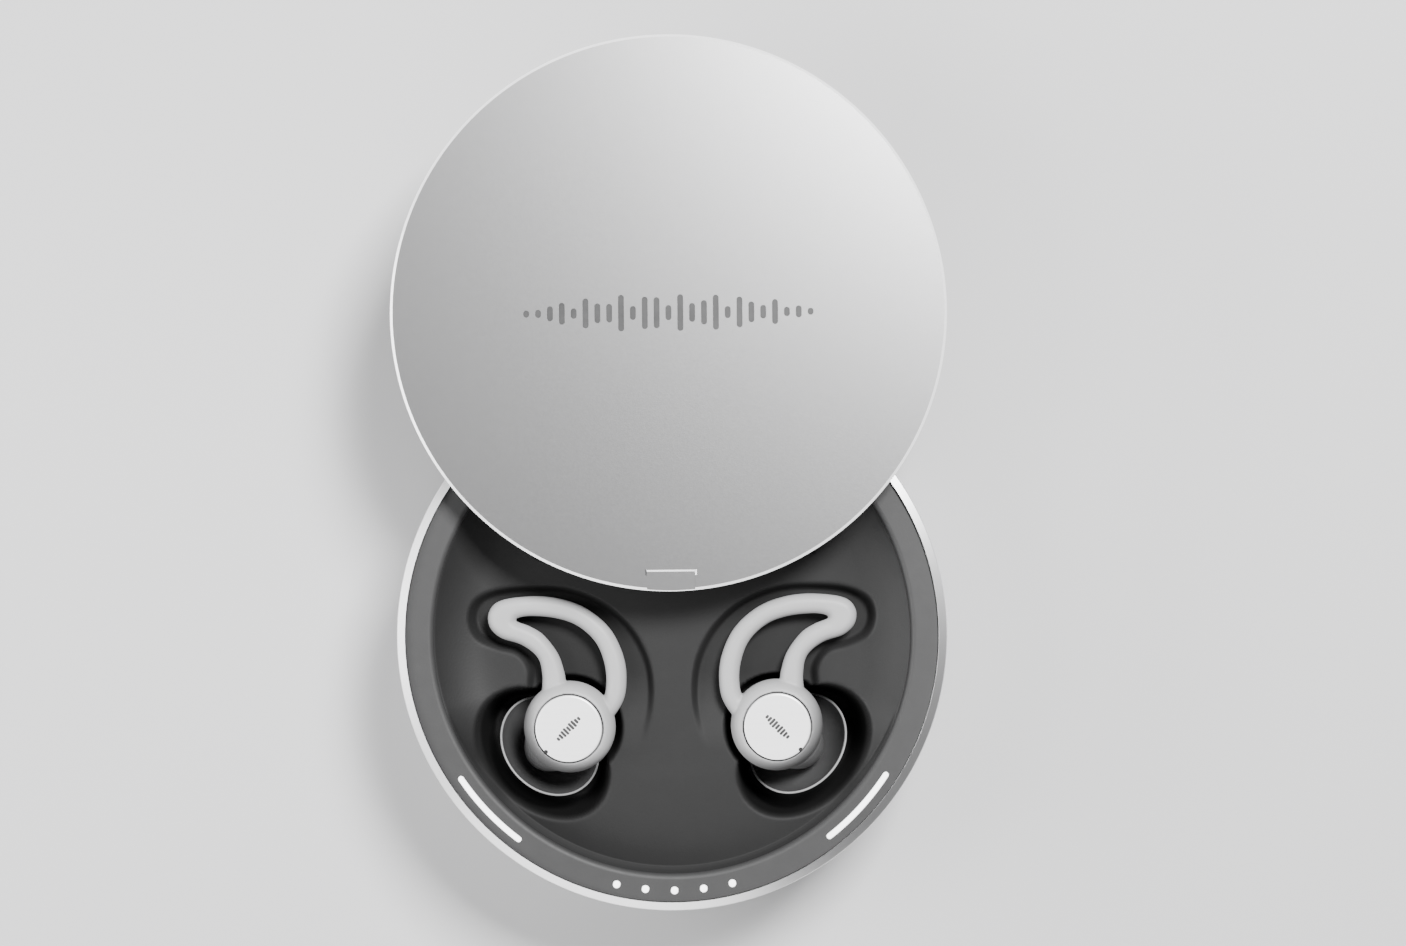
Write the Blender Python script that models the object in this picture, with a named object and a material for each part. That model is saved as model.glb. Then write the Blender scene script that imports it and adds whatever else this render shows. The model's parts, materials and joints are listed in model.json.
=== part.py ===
"""Round wireless earbuds case with a sliding lid and two finned earbuds.

Metres, +Z up. The origin is the centre of the foot's underside. The front of the case, where the
status lights are, faces -Y. The lid is drawn open, slid towards +Y, and both earbuds sit in their wells.
Dimensions are written in millimetres and turned into metres where each mesh is made.
"""

import math

import bmesh
import bpy
from mathutils import Matrix, Vector

MM = 0.001

# Driving dimensions, in millimetres.
CASE_RADIUS = 38.1
CASE_HEIGHT = 27.9
LID_HEIGHT = 4.3
LID_TRAVEL = 44.4
WALL = 1.2
GAP = 0.3
RUNNING_GAP = 0.15
BOWL_RADIUS = 33.0
BUD_X = 14.5
BUD_Y = -12.9
BUD_Z = 18.8
BUD_RADIUS = 6.45
TIP_TILT = math.radians(40)
LIGHT_RADIUS = 35.05
GUIDE_X = 14.0
PIN_RADIUS = 0.42
FIN_HALF = 1.2
FIN_MIDDLE = 0.2

# Heights worked out from them.
LID_BOTTOM = CASE_HEIGHT - LID_HEIGHT
RIM_TOP = LID_BOTTOM - GAP
RING_TOP = RIM_TOP - 0.5
FLANGE_TOP = RING_TOP - 2.6
BOWL_FLOOR = 18.3
PLATEAU_TOP = 22.4
INNER_RADIUS = CASE_RADIUS - WALL
COVER_BOTTOM = 2.0
COVER_TOP = 3.6
BOARD_BOTTOM = 4.2
BOARD_TOP = 5.2
SOCKET_Z = 7.0

# Plan of the guides, screws and magnets, in millimetres.
GUIDE_FRONT = 14.0
GUIDE_REAR = 27.0
GUIDE_SCREW_Y = (17.0, 24.0)
MAGNET_Y = 21.0
BOSS_RADIUS = 31.0
BOSS_ANGLES = (-90, 30, 150)
LIGHT_SPACING = 6.55
BAR_ANGLES = (37.4, 56.9)

# Shapes in a bud's own plan: (outwards, rearwards) from the bud's axis.
DIAGONAL = math.sqrt(0.5)
WELL_SHAPE = [
    # height, middle along the nozzle's direction, half length along it, half length across it
    (7.4, 1.8, 2.7, 3.2),
    (8.2, 2.7, 4.6, 5.6),
    (10.5, 4.25, 6.15, 8.2),
    (15.5, 5.4, 7.3, 10.3),
]
SEAT_FLOOR = 13.35
SEAT_RADIUS = 7.3
POCKET_FLOOR = 16.7
SHELL = 0.8
CONTACT_REACH = 3.7
CONTACT_SPREAD = 1.1
FIN_OUTER = [
    (3.8, 4.0), (3.8, 7.2), (4.4, 9.7), (6.6, 11.5), (9.5, 12.5), (11.1, 14.1), (11.2, 16.2), (9.6, 17.8),
    (5.5, 18.4), (1.5, 18.1), (-2.4, 16.7), (-5.8, 13.8), (-7.7, 9.9), (-8.1, 6.2), (-7.4, 3.1), (-5.0, 0.4),
    (-1.0, 0.0), (2.5, 1.2),
]  # fmt: skip
FIN_INNER = [
    (7.3, 15.0), (5.6, 15.5), (1.9, 15.2), (-1.2, 14.1), (-3.7, 11.8), (-4.9, 8.8), (-5.1, 5.8),
    (-4.4, 3.9), (-2.0, 4.6), (0.2, 5.6), (0.5, 7.4), (1.4, 10.2), (3.4, 12.9), (5.4, 14.2),
]  # fmt: skip
POCKET = [
    (5.2, 4.0), (5.6, 8.0), (7.2, 10.3), (10.0, 11.2), (12.6, 12.6), (13.6, 15.0), (12.9, 17.5), (10.2, 19.0),
    (5.5, 19.5), (0.3, 19.2), (-4.6, 17.3), (-8.5, 13.9), (-10.9, 9.5), (-11.6, 5.0), (-11.1, 0.6),
    (-9.4, -3.4), (-5.0, -3.0), (0.0, 0.0),
]  # fmt: skip

BIG = 40
MEDIUM = 20
SMALL = 10


# ---------------------------------------------------------------- helpers


def material(name, colour, roughness, metallic=0.0, alpha=1.0):
    """A Principled material, made once and found again by name."""
    found = bpy.data.materials.get(name)
    if found:
        return found
    made = bpy.data.materials.new(name)
    made.use_nodes = True
    shader = made.node_tree.nodes["Principled BSDF"]
    shader.inputs["Base Color"].default_value = (*colour, 1.0)
    shader.inputs["Roughness"].default_value = roughness
    shader.inputs["Metallic"].default_value = metallic
    shader.inputs["Alpha"].default_value = alpha
    made.diffuse_color = (*colour, alpha)
    return made


def aluminium():
    return material("satin_aluminium", (0.62, 0.62, 0.62), 0.38, 1.0)


def dark_plastic():
    return material("dark_soft_plastic", (0.050, 0.050, 0.052), 0.62)


def ring_plastic():
    return material("ring_plastic", (0.13, 0.13, 0.135), 0.45)


def silicone():
    return material("tip_silicone", (0.62, 0.62, 0.62), 0.5)


def bud_plastic():
    return material("bud_plastic", (0.42, 0.42, 0.42), 0.4)


def face_metal():
    return material("bud_face", (0.88, 0.88, 0.88), 0.35, 0.3)


def foot_rubber():
    return material("foot_rubber", (0.06, 0.06, 0.06), 0.8)


def steel():
    return material("steel", (0.50, 0.50, 0.50), 0.3, 1.0)


def gold():
    return material("gold_contact", (0.80, 0.60, 0.25), 0.25, 1.0)


def board_green():
    return material("circuit_board", (0.03, 0.12, 0.06), 0.5)


def cell_wrap():
    return material("cell_wrap", (0.35, 0.37, 0.40), 0.45)


def light_lens():
    return material("light_lens", (0.95, 0.95, 0.95), 0.3)


def add_empty(name, place):
    """An empty that carries the pieces of one moving body."""
    empty = bpy.data.objects.new(name, None)
    empty.location = Vector(place) * MM
    bpy.context.scene.collection.objects.link(empty)
    return empty


def add_object(name, mesh_data, finish, place=(0, 0, 0), parent=None):
    """Turns a bmesh into a named object whose faces point out."""
    bmesh.ops.remove_doubles(mesh_data, verts=mesh_data.verts, dist=1e-7)
    bmesh.ops.recalc_face_normals(mesh_data, faces=mesh_data.faces)
    mesh = bpy.data.meshes.new(name)
    mesh_data.to_mesh(mesh)
    mesh_data.free()
    mesh.shade_smooth()
    mesh.set_sharp_from_angle(angle=math.radians(35))
    made = bpy.data.objects.new(name, mesh)
    made.location = Vector(place) * MM
    made.parent = parent
    if finish:
        mesh.materials.append(finish)
    bpy.context.scene.collection.objects.link(made)
    return made


def turned(profile, steps):
    """A solid turned about Z from (radius, height) points: ends on the axis, or a closed loop off it."""
    shape = bmesh.new()
    points = [shape.verts.new((radius * MM, 0, height * MM)) for radius, height in profile]
    off_axis = profile[0][0] > 0 and profile[-1][0] > 0
    following = points[1:] + points[:1] if off_axis else points[1:]
    edges = [shape.edges.new(pair) for pair in zip(points, following)]
    bmesh.ops.spin(
        shape,
        geom=points + edges,
        cent=(0, 0, 0),
        axis=(0, 0, 1),
        angle=2 * math.pi,
        steps=steps,
        use_merge=True,
    )
    return shape


def loft(rings):
    """A closed solid through rings of (x, y, z) points, all with the same number of points."""
    shape = bmesh.new()
    loops = [[shape.verts.new((x * MM, y * MM, z * MM)) for x, y, z in ring] for ring in rings]
    count = len(loops[0])
    for low, high in zip(loops, loops[1:]):
        for i in range(count):
            j = (i + 1) % count
            shape.faces.new((low[i], low[j], high[j], high[i]))
    shape.faces.new(loops[0][::-1])
    shape.faces.new(loops[-1])
    return shape


def prism(outline, low, high):
    """An outline raised from one height to another."""
    return loft([[(x, y, z) for x, y in outline] for z in (low, high)])


def turn_to(shape, direction):
    """Swings a shape built along +Z so that it runs along a direction."""
    swing = Vector((0, 0, 1)).rotation_difference(Vector(direction)).to_matrix().to_4x4()
    bmesh.ops.transform(shape, matrix=swing, verts=shape.verts)
    return shape


def circle(radius, steps, centre=(0, 0)):
    angles = [2 * math.pi * i / steps for i in range(steps)]
    return [(centre[0] + radius * math.cos(a), centre[1] + radius * math.sin(a)) for a in angles]


def rounded_rectangle(width, depth, radius, steps=4):
    """An outline centred on the origin, with quarter circles at its corners."""
    outline = []
    for quarter, (sx, sy) in enumerate([(1, 1), (-1, 1), (-1, -1), (1, -1)]):
        cx, cy = sx * (width / 2 - radius), sy * (depth / 2 - radius)
        for i in range(steps + 1):
            a = math.pi / 2 * (quarter + i / steps)
            outline.append((cx + radius * math.cos(a), cy + radius * math.sin(a)))
    return outline


def arc_band(radius, width, start, end, steps):
    """A curved bar with round ends about the origin, its angles in degrees."""
    half = width / 2
    angles = [math.radians(start + (end - start) * i / steps) for i in range(steps + 1)]
    outline = [((radius + half) * math.cos(a), (radius + half) * math.sin(a)) for a in angles]
    outline += round_end(radius, half, angles[-1], 1)
    outline += [((radius - half) * math.cos(a), (radius - half) * math.sin(a)) for a in reversed(angles)]
    outline += round_end(radius, half, angles[0], -1)
    return outline


def round_end(radius, half, angle, way, steps=4):
    """The points inside a half circle that closes one end of a curved bar."""
    cx, cy = radius * math.cos(angle), radius * math.sin(angle)
    points = []
    for i in range(1, steps):
        turn = math.pi * i / steps
        a = angle + turn if way > 0 else angle + math.pi + turn
        points.append((cx + half * math.cos(a), cy + half * math.sin(a)))
    return points


def smooth_loop(points, per_span):
    """A closed Catmull-Rom curve through the points."""
    count = len(points)
    outline = []
    for i in range(count):
        before, start, end, after = (Vector(points[(i + k) % count]) for k in (-1, 0, 1, 2))
        for k in range(per_span):
            t = k / per_span
            spot = 2 * start + (end - before) * t
            spot += (2 * before - 5 * start + 4 * end - after) * t**2
            spot += (3 * start - before - 3 * end + after) * t**3
            outline.append((spot.x / 2, spot.y / 2))
    return outline


def grown(outline, distance):
    """An anticlockwise outline moved outwards by a distance, or inwards if it is negative."""
    count = len(outline)
    moved = []
    for i in range(count):
        before, after = Vector(outline[i - 1]), Vector(outline[(i + 1) % count])
        along = (after - before).normalized()
        moved.append((outline[i][0] + along.y * distance, outline[i][1] - along.x * distance))
    return moved


def anticlockwise(outline):
    area = sum(a[0] * b[1] - b[0] * a[1] for a, b in zip(outline, outline[1:] + outline[:1]))
    return outline if area > 0 else outline[::-1]


def boolean(target, other, operation):
    other.hide_render = True
    other.display_type = "WIRE"
    modifier = target.modifiers.new(f"{operation.title()} {other.name}", "BOOLEAN")
    modifier.operation = operation
    modifier.solver = "EXACT"
    modifier.object = other


def cut(target, shape, name, place=(0, 0, 0), parent=None):
    boolean(target, add_object(name, shape, None, place, parent), "DIFFERENCE")


def join(target, shape, name, place=(0, 0, 0), parent=None):
    boolean(target, add_object(name, shape, None, place, parent), "UNION")


def polar(radius, degrees):
    angle = math.radians(degrees)
    return radius * math.cos(angle), radius * math.sin(angle)


# ---------------------------------------------------------------- case base


def add_foot_pad():
    profile = [(0, 0), (32.6, 0), (33.2, 0.6), (33.2, COVER_BOTTOM - GAP), (0, COVER_BOTTOM - GAP)]
    add_object("foot_pad", turned(profile, BIG), foot_rubber())


def add_bottom_cover():
    radius = INNER_RADIUS - GAP
    profile = [(0, COVER_BOTTOM), (radius, COVER_BOTTOM), (radius, COVER_TOP), (0, COVER_TOP)]
    cover = add_object("bottom_cover", turned(profile, BIG), dark_plastic())
    for i, angle in enumerate(BOSS_ANGLES, 1):
        spot = (*polar(BOSS_RADIUS, angle), 0)
        recess = [(0, 1.0), (1.8, 1.0), (1.8, 2.95), (1.0, 2.95), (1.0, 4.5), (0, 4.5)]
        cut(cover, turned(recess, SMALL), f"cover_screw_recess_{i}", spot)


def add_base_shell():
    """The metal wall: a tube with a lip at the bottom that holds the cover, and a flat rim on top."""
    lip_top = COVER_BOTTOM - 0.1
    bend, turn = 1.9, math.pi / 2
    corner = [
        (CASE_RADIUS - bend + bend * math.sin(turn * i / 3), 0.9 + bend - bend * math.cos(turn * i / 3))
        for i in range(4)
    ]
    profile = [
        (33.5, 0.9),
        *corner,
        (CASE_RADIUS, RIM_TOP - 0.4),
        (CASE_RADIUS - 0.4, RIM_TOP),
        (INNER_RADIUS, RIM_TOP),
        (INNER_RADIUS, lip_top),
        (33.5, lip_top),
    ]
    shell = add_object("base_shell", turned(profile, BIG), aluminium())
    hole = prism(rounded_rectangle(9.5, 3.8, 1.85), 34.0, 42.0)
    bmesh.ops.transform(hole, matrix=Matrix.Rotation(math.radians(-90), 4, "X"), verts=hole.verts)
    cut(shell, hole, "socket_hole", (0, 0, SOCKET_Z))


def bowl_profile():
    """The tray's section: a smooth bowl, a flange that carries the light ring, and its underside."""
    lip = RING_TOP - 0.95
    return [
        (0, BOWL_FLOOR),
        (20.0, BOWL_FLOOR),
        (25.0, BOWL_FLOOR + 0.3),
        (28.6, BOWL_FLOOR + 1.1),
        (31.0, BOWL_FLOOR + 2.4),
        (32.3, lip - 0.1),
        (BOWL_RADIUS, lip),
        (BOWL_RADIUS + 0.3, lip),
        (BOWL_RADIUS + 0.3, FLANGE_TOP),
        (INNER_RADIUS - GAP, FLANGE_TOP),
        (INNER_RADIUS - GAP, FLANGE_TOP - 1.3),
        (31.0, FLANGE_TOP - 1.3),
        (28.6, BOWL_FLOOR - 0.3),
        (25.0, BOWL_FLOOR - 1.0),
        (20.0, BOWL_FLOOR - 1.3),
        (0, BOWL_FLOOR - 1.3),
    ]


def well_solid(side, extra, top):
    """The deep well as a solid, leaning outwards and to the front as the nozzle does."""
    levels = [(height - extra, *shape) for height, *shape in WELL_SHAPE]
    levels.append((top, *WELL_SHAPE[-1][1:]))
    rings = []
    for height, middle, half_along, half_across in levels:
        ring = []
        for i in range(MEDIUM):
            a = 2 * math.pi * i / MEDIUM
            along = middle + (half_along + extra) * math.cos(a)
            across = (half_across + extra) * math.sin(a)
            out = (along + across) * DIAGONAL
            rear = (across - along) * DIAGONAL
            ring.append((side * (BUD_X + out), BUD_Y + rear, height))
        rings.append(ring)
    return loft(rings)


def case_plan(outline, side):
    """An outline in a bud's plan, as case coordinates."""
    return anticlockwise([(side * (BUD_X + out), BUD_Y + rear) for out, rear in outline])


def contact_spots(side):
    """The two charging contacts, in the bud's own frame: inwards and to the rear of its axis."""
    spots = []
    for spread in (CONTACT_SPREAD, -CONTACT_SPREAD):
        out = (-CONTACT_REACH + spread) * DIAGONAL
        rear = (CONTACT_REACH + spread) * DIAGONAL
        spots.append((side * out, rear))
    return spots


def add_wells(deck, side, word):
    """One bud's well: a deep oval for the ear tip, a round seat for the body and a shallow pocket for the fin."""
    underside = BOWL_FLOOR - 0.5
    join(deck, well_solid(side, SHELL, underside), f"{word}_well_outside")
    seat_outside = circle(SEAT_RADIUS + SHELL, MEDIUM, (side * BUD_X, BUD_Y))
    join(deck, prism(seat_outside, SEAT_FLOOR - SHELL, underside), f"{word}_seat_outside")
    pocket = case_plan(smooth_loop(POCKET, 2), side)
    join(deck, prism(grown(pocket, SHELL), POCKET_FLOOR - SHELL, underside), f"{word}_pocket_outside")
    above = RING_TOP + 2
    cut(deck, well_solid(side, 0, above), f"{word}_well_inside")
    seat_inside = circle(SEAT_RADIUS, MEDIUM, (side * BUD_X, BUD_Y))
    cut(deck, prism(seat_inside, SEAT_FLOOR, above), f"{word}_seat_inside")
    cut(deck, prism(pocket, POCKET_FLOOR, above), f"{word}_pocket_inside")
    for i, (x, y) in enumerate(contact_spots(side), 1):
        hole = prism(circle(PIN_RADIUS + 0.12, SMALL), SEAT_FLOOR - 2 * SHELL, SEAT_FLOOR + 1)
        cut(deck, hole, f"{word}_pin_hole_{i}", (side * BUD_X + x, BUD_Y + y, 0))


def plateau_outline():
    """The raised floor at the rear that carries the lid's guides."""
    half_width, front, reach = 19.0, 11.5, BOWL_RADIUS - 1.0
    start = math.degrees(math.acos(half_width / reach))
    rear = [polar(reach, start + (180 - 2 * start) * i / 12) for i in range(13)]
    return [(-half_width, front), (half_width, front), *rear]


def add_deck():
    """The moulded tray inside the case."""
    deck = add_object("deck", turned(bowl_profile(), BIG), dark_plastic())
    join(deck, prism(plateau_outline(), BOWL_FLOOR - 0.9, PLATEAU_TOP), "guide_plateau")
    for i, angle in enumerate(BOSS_ANGLES, 1):
        spot = (*polar(BOSS_RADIUS, angle), 0)
        join(deck, prism(circle(2.1, SMALL), COVER_TOP + 0.2, BOWL_FLOOR + 0.8), f"boss_{i}", spot)
        cut(deck, prism(circle(0.95, SMALL), COVER_TOP - 1, 10.5), f"boss_hole_{i}", spot)
    for side, word in ((-1, "left"), (1, "right")):
        add_wells(deck, side, word)
        for i, y in enumerate(GUIDE_SCREW_Y, 1):
            bore = [(0, 16), (1.7, 16), (1.7, 20.4), (1.0, 20.4), (1.0, 24), (0, 24)]
            cut(deck, turned(bore, SMALL), f"{word}_guide_bore_{i}", (side * GUIDE_X, y, 0))
    cut(deck, prism(circle(3.2, MEDIUM, (0, MAGNET_Y)), 16, 21.5), "base_magnet_pocket")


def light_angles():
    """The places of the five status lights round the ring, in degrees."""
    return [-90 + LIGHT_SPACING * i for i in range(-2, 3)]


def light_spots():
    return [polar(LIGHT_RADIUS, angle) for angle in light_angles()]


def bar_angles(side):
    return sorted(-90 + side * angle for angle in BAR_ANGLES)


def add_light_ring():
    """The flat ring round the bowl: a plate on a skirt, with its light openings."""
    inner, outer, skirt = BOWL_RADIUS + 0.1, INNER_RADIUS - 0.1, 0.8
    base, plate = FLANGE_TOP + 0.2, RING_TOP - 0.9
    profile = [(inner, plate), (inner, plate + 0.3), (inner + 0.7, RING_TOP), (outer, RING_TOP)]
    profile += [(outer, base), (outer - skirt, base), (outer - skirt, plate)]
    ring = add_object("light_ring", turned(profile, BIG), ring_plastic())
    for i, spot in enumerate(light_spots(), 1):
        cut(ring, prism(circle(0.66, SMALL, spot), RING_TOP - 2, RING_TOP + 1), f"light_opening_{i}")
    for side, word in ((-1, "left"), (1, "right")):
        slot = arc_band(LIGHT_RADIUS, 1.1, *bar_angles(side), 8)
        cut(ring, prism(slot, RING_TOP - 2, RING_TOP + 1), f"{word}_bar_opening")


def add_lights():
    """Five round status lights and one curved light for each bud."""
    low, high = RING_TOP - 1.2, RING_TOP + 0.05
    for i, spot in enumerate(light_spots(), 1):
        lens = prism(circle(0.55, SMALL), low, high)
        add_object(f"status_light_{i}", lens, light_lens(), (*spot, 0))
    for side, word in ((-1, "left"), (1, "right")):
        lens = prism(arc_band(LIGHT_RADIUS, 0.9, *bar_angles(side), 8), low, high)
        add_object(f"{word}_bud_light", lens, light_lens())


def add_led_board():
    """The curved board under the lights, with one lamp below each opening."""
    low, middle = FLANGE_TOP + 0.1, LIGHT_RADIUS - 0.2
    outline = arc_band(middle, 1.5, -150, -30, 20)
    board = add_object("led_board", prism(outline, low, low + 0.5), board_green())
    bar_middles = [sum(bar_angles(side)) / 2 for side in (-1, 1)]
    for i, angle in enumerate(light_angles() + bar_middles, 1):
        lamp = prism(rounded_rectangle(0.9, 0.9, 0.1, 1), low + 0.3, low + 1.0)
        join(board, lamp, f"lamp_{i}", (*polar(middle, angle), 0))


def add_main_board():
    """The round circuit board on the bottom cover, with its larger chips."""
    board = add_object("main_board", prism(circle(34.2, BIG), BOARD_BOTTOM, BOARD_TOP), board_green())
    chips = [((0, -14), 7.0, 7.0, 0.9), ((5.5, -22), 4.0, 4.0, 0.8), ((-5.5, -22.5), 5.0, 3.0, 0.7)]
    for i, ((x, y), width, depth, height) in enumerate(chips, 1):
        chip = prism(rounded_rectangle(width, depth, 0.3, 1), BOARD_TOP - 0.3, BOARD_TOP + height)
        join(board, chip, f"chip_{i}", (x, y, 0))
    for i, angle in enumerate(BOSS_ANGLES, 1):
        clear = prism(circle(2.6, SMALL), BOARD_BOTTOM - 1, BOARD_TOP + 1)
        cut(board, clear, f"boss_clearance_{i}", (*polar(BOSS_RADIUS, angle), 0))


def add_battery():
    outline = rounded_rectangle(40.0, 24.0, 2.0, 3)
    inset = grown(outline, -0.6)
    low, high = BOARD_TOP + GAP, 13.1
    rings = [(inset, low), (outline, low + 0.6), (outline, high - 0.6), (inset, high)]
    shape = loft([[(x, y, z) for x, y in ring] for ring, z in rings])
    add_object("battery", shape, cell_wrap(), (0, 12.5, 0))


def add_charge_socket():
    """The charging socket at the rear: a metal shell and the tongue inside it."""
    upright = Matrix.Rotation(math.radians(-90), 4, "X")
    shell = prism(rounded_rectangle(8.9, 3.2, 1.55), 29.2, 37.7)
    bmesh.ops.transform(shell, matrix=upright, verts=shell.verts)
    socket = add_object("charge_socket", shell, steel(), (0, 0, SOCKET_Z))
    mouth = prism(rounded_rectangle(8.3, 2.6, 1.25), 29.9, 40.0)
    bmesh.ops.transform(mouth, matrix=upright, verts=mouth.verts)
    cut(socket, mouth, "socket_mouth", (0, 0, SOCKET_Z))
    tongue = prism(rounded_rectangle(6.7, 0.7, 0.2, 2), 30.1, 36.6)
    bmesh.ops.transform(tongue, matrix=upright, verts=tongue.verts)
    add_object("charge_socket_tongue", tongue, dark_plastic(), (0, 0, SOCKET_Z))


def screw(head_radius, head_height, shank_radius, length):
    """A flat-headed screw standing on its head, with a cross-shaped slot left out."""
    return turned(
        [
            (0, 0),
            (head_radius - 0.2, 0),
            (head_radius, 0.2),
            (head_radius, head_height),
            (shank_radius, head_height),
            (shank_radius, length - 0.5),
            (0, length),
        ],
        SMALL,
    )


def add_screws():
    for i, angle in enumerate(BOSS_ANGLES, 1):
        place = (*polar(BOSS_RADIUS, angle), COVER_BOTTOM + 0.05)
        add_object(f"base_screw_{i}", screw(1.55, 0.8, 0.8, 7.4), steel(), place)
    spots = [(side * GUIDE_X, y) for side in (-1, 1) for y in GUIDE_SCREW_Y]
    for i, spot in enumerate(spots, 1):
        add_object(f"guide_screw_{i}", screw(1.45, 1.1, 0.75, 6.0), steel(), (*spot, 19.2))


def add_guides():
    """The two T-shaped rails that stand on the deck and hold the lid down."""
    foot, stem, head = 4.0, 1.35, 3.0
    low, neck = PLATEAU_TOP + 0.1, LID_BOTTOM - 0.2
    head_low, head_high = LID_BOTTOM + 1.2 + RUNNING_GAP, LID_BOTTOM + 2.65
    half = [(foot, low), (foot, neck), (stem, neck), (stem, head_low), (head, head_low), (head, head_high)]
    section = half + [(-x, z) for x, z in reversed(half)]
    for side, word in ((-1, "left"), (1, "right")):
        rail = loft([[(x, y, z) for x, z in section] for y in (GUIDE_FRONT, GUIDE_REAR)])
        guide = add_object(f"{word}_lid_guide", rail, steel(), (side * GUIDE_X, 0, 0))
        for i, y in enumerate(GUIDE_SCREW_Y, 1):
            hole = prism(circle(0.85, SMALL), low - 1, 25.6)
            cut(guide, hole, f"{word}_guide_hole_{i}", (side * GUIDE_X, y, 0))


def magnet(radius, height):
    """A disc magnet standing on its lower face."""
    bevel = 0.2
    profile = [(0, 0), (radius - bevel, 0), (radius, bevel), (radius, height - bevel), (radius - bevel, height)]
    return turned([*profile, (0, height)], MEDIUM)


def add_base_magnets():
    add_object("base_magnet", magnet(3.0, 2.0), steel(), (0, MAGNET_Y, 19.3))
    inwards = 6.6 * DIAGONAL
    for side, word in ((-1, "left"), (1, "right")):
        place = (side * (BUD_X - inwards), BUD_Y + inwards, SEAT_FLOOR - SHELL - 2.2)
        add_object(f"{word}_well_magnet", magnet(1.3, 2.0), steel(), place)


def add_charge_pins():
    """Sprung pins that stand up through each seat's floor, in an insulating block below it."""
    block_low, block_high = BOARD_TOP + GAP, 9.8
    shoulder = SEAT_FLOOR - SHELL - 0.8
    collar = PIN_RADIUS + 0.23
    top = BUD_Z - 5.0
    for side, word in ((-1, "left"), (1, "right")):
        spots = contact_spots(side)
        centre = [side * BUD_X + sum(x for x, _ in spots) / 2, BUD_Y + sum(y for _, y in spots) / 2]
        outline = rounded_rectangle(4.4, 1.7, 0.3, 2)
        block_shape = prism(outline, block_low, block_high)
        turn = Matrix.Rotation(math.radians(side * 45), 4, "Z")
        bmesh.ops.transform(block_shape, matrix=turn, verts=block_shape.verts)
        block = add_object(f"{word}_pin_block", block_shape, dark_plastic(), (*centre, 0))
        for i, (x, y) in enumerate(spots, 1):
            spot = (side * BUD_X + x, BUD_Y + y)
            bore = prism(circle(PIN_RADIUS + 0.1, SMALL), block_low + 0.8, 12)
            cut(block, bore, f"{word}_pin_bore_{i}", (*spot, 0))
            pin = turned(
                [
                    (0, 7.6),
                    (PIN_RADIUS, 7.6),
                    (PIN_RADIUS, shoulder),
                    (collar, shoulder),
                    (collar, shoulder + 0.4),
                    (PIN_RADIUS, shoulder + 0.4),
                    (PIN_RADIUS, top - 0.3),
                    (0.25, top - 0.05),
                    (0, top),
                ],
                SMALL,
            )
            add_object(f"{word}_charge_pin_{i}", pin, gold(), (*spot, 0))


# ---------------------------------------------------------------- lid


def add_lid():
    """The sliding lid: a shallow metal cap over a liner with two T-shaped slots."""
    lid = add_empty("lid", (0, LID_TRAVEL, LID_BOTTOM))
    cap = [
        (0, LID_HEIGHT),
        (CASE_RADIUS - 0.5, LID_HEIGHT),
        (CASE_RADIUS - 0.12, LID_HEIGHT - 0.15),
        (CASE_RADIUS, LID_HEIGHT - 0.5),
        (CASE_RADIUS, 0.3),
        (CASE_RADIUS - 0.3, 0),
        (INNER_RADIUS + 0.2, 0),
        (INNER_RADIUS + 0.2, LID_HEIGHT - 1.1),
        (0, LID_HEIGHT - 1.1),
    ]
    plate = add_object("lid_plate", turned(cap, BIG), aluminium(), parent=lid)
    catch_depth, catch_rear, catch_front, half = 0.2, -35.25, -37.0, 3.5
    ramp = [(catch_front, LID_HEIGHT), (catch_front, LID_HEIGHT + 1), (catch_rear, LID_HEIGHT + 1)]
    ramp += [(catch_rear, LID_HEIGHT - catch_depth)]
    cut(plate, loft([[(x, y, z) for y, z in ramp] for x in (-half, half)]), "thumb_catch", parent=lid)
    thickness = LID_HEIGHT - 1.1 - GAP
    disc = [(0, 0), (INNER_RADIUS - GAP, 0), (INNER_RADIUS - GAP, thickness), (0, thickness)]
    liner = add_object("lid_liner", turned(disc, BIG), dark_plastic(), parent=lid)
    front, rear = GUIDE_FRONT - LID_TRAVEL - GAP, GUIDE_REAR + GAP
    for side, word in ((-1, "left"), (1, "right")):
        for half_width, low, name in ((1.55, -1, "slot"), (3.3, 1.2, "channel")):
            x = side * GUIDE_X
            corners = [(x - half_width, front), (x + half_width, front)]
            corners += [(x + half_width, rear), (x - half_width, rear)]
            cut(liner, prism(corners, low, LID_HEIGHT + 1), f"{word}_{name}", parent=lid)
    for y, word in ((MAGNET_Y, "closed"), (MAGNET_Y - LID_TRAVEL, "open")):
        pocket = prism(circle(3.2, MEDIUM, (0, y)), 1.3, LID_HEIGHT + 1)
        cut(liner, pocket, f"{word}_magnet_pocket", parent=lid)
        add_object(f"lid_magnet_{word}", magnet(3.0, 1.3), steel(), (0, y, 1.45), lid)


# ---------------------------------------------------------------- earbuds


def nozzle_direction(side):
    """The nozzle leans outwards and to the front, pointing down into the deep well."""
    lean = math.sin(TIP_TILT) * DIAGONAL
    return side * lean, -lean, -math.cos(TIP_TILT)


def along_nozzle(profile, side, steps=MEDIUM):
    """A solid turned about the nozzle: (radius, distance from the bud's centre)."""
    return turn_to(turned(profile, steps), nozzle_direction(side))


def housing_profile(extra):
    """The bud body's outside, or a slightly larger copy of it."""
    r, low, high = 5.2 + extra, -4.6 - extra, 2.2 + extra
    return [(0, low), (r - 0.7, low), (r, low + 0.8), (r, high - 0.3), (r - 0.3, high), (0, high)]


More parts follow.
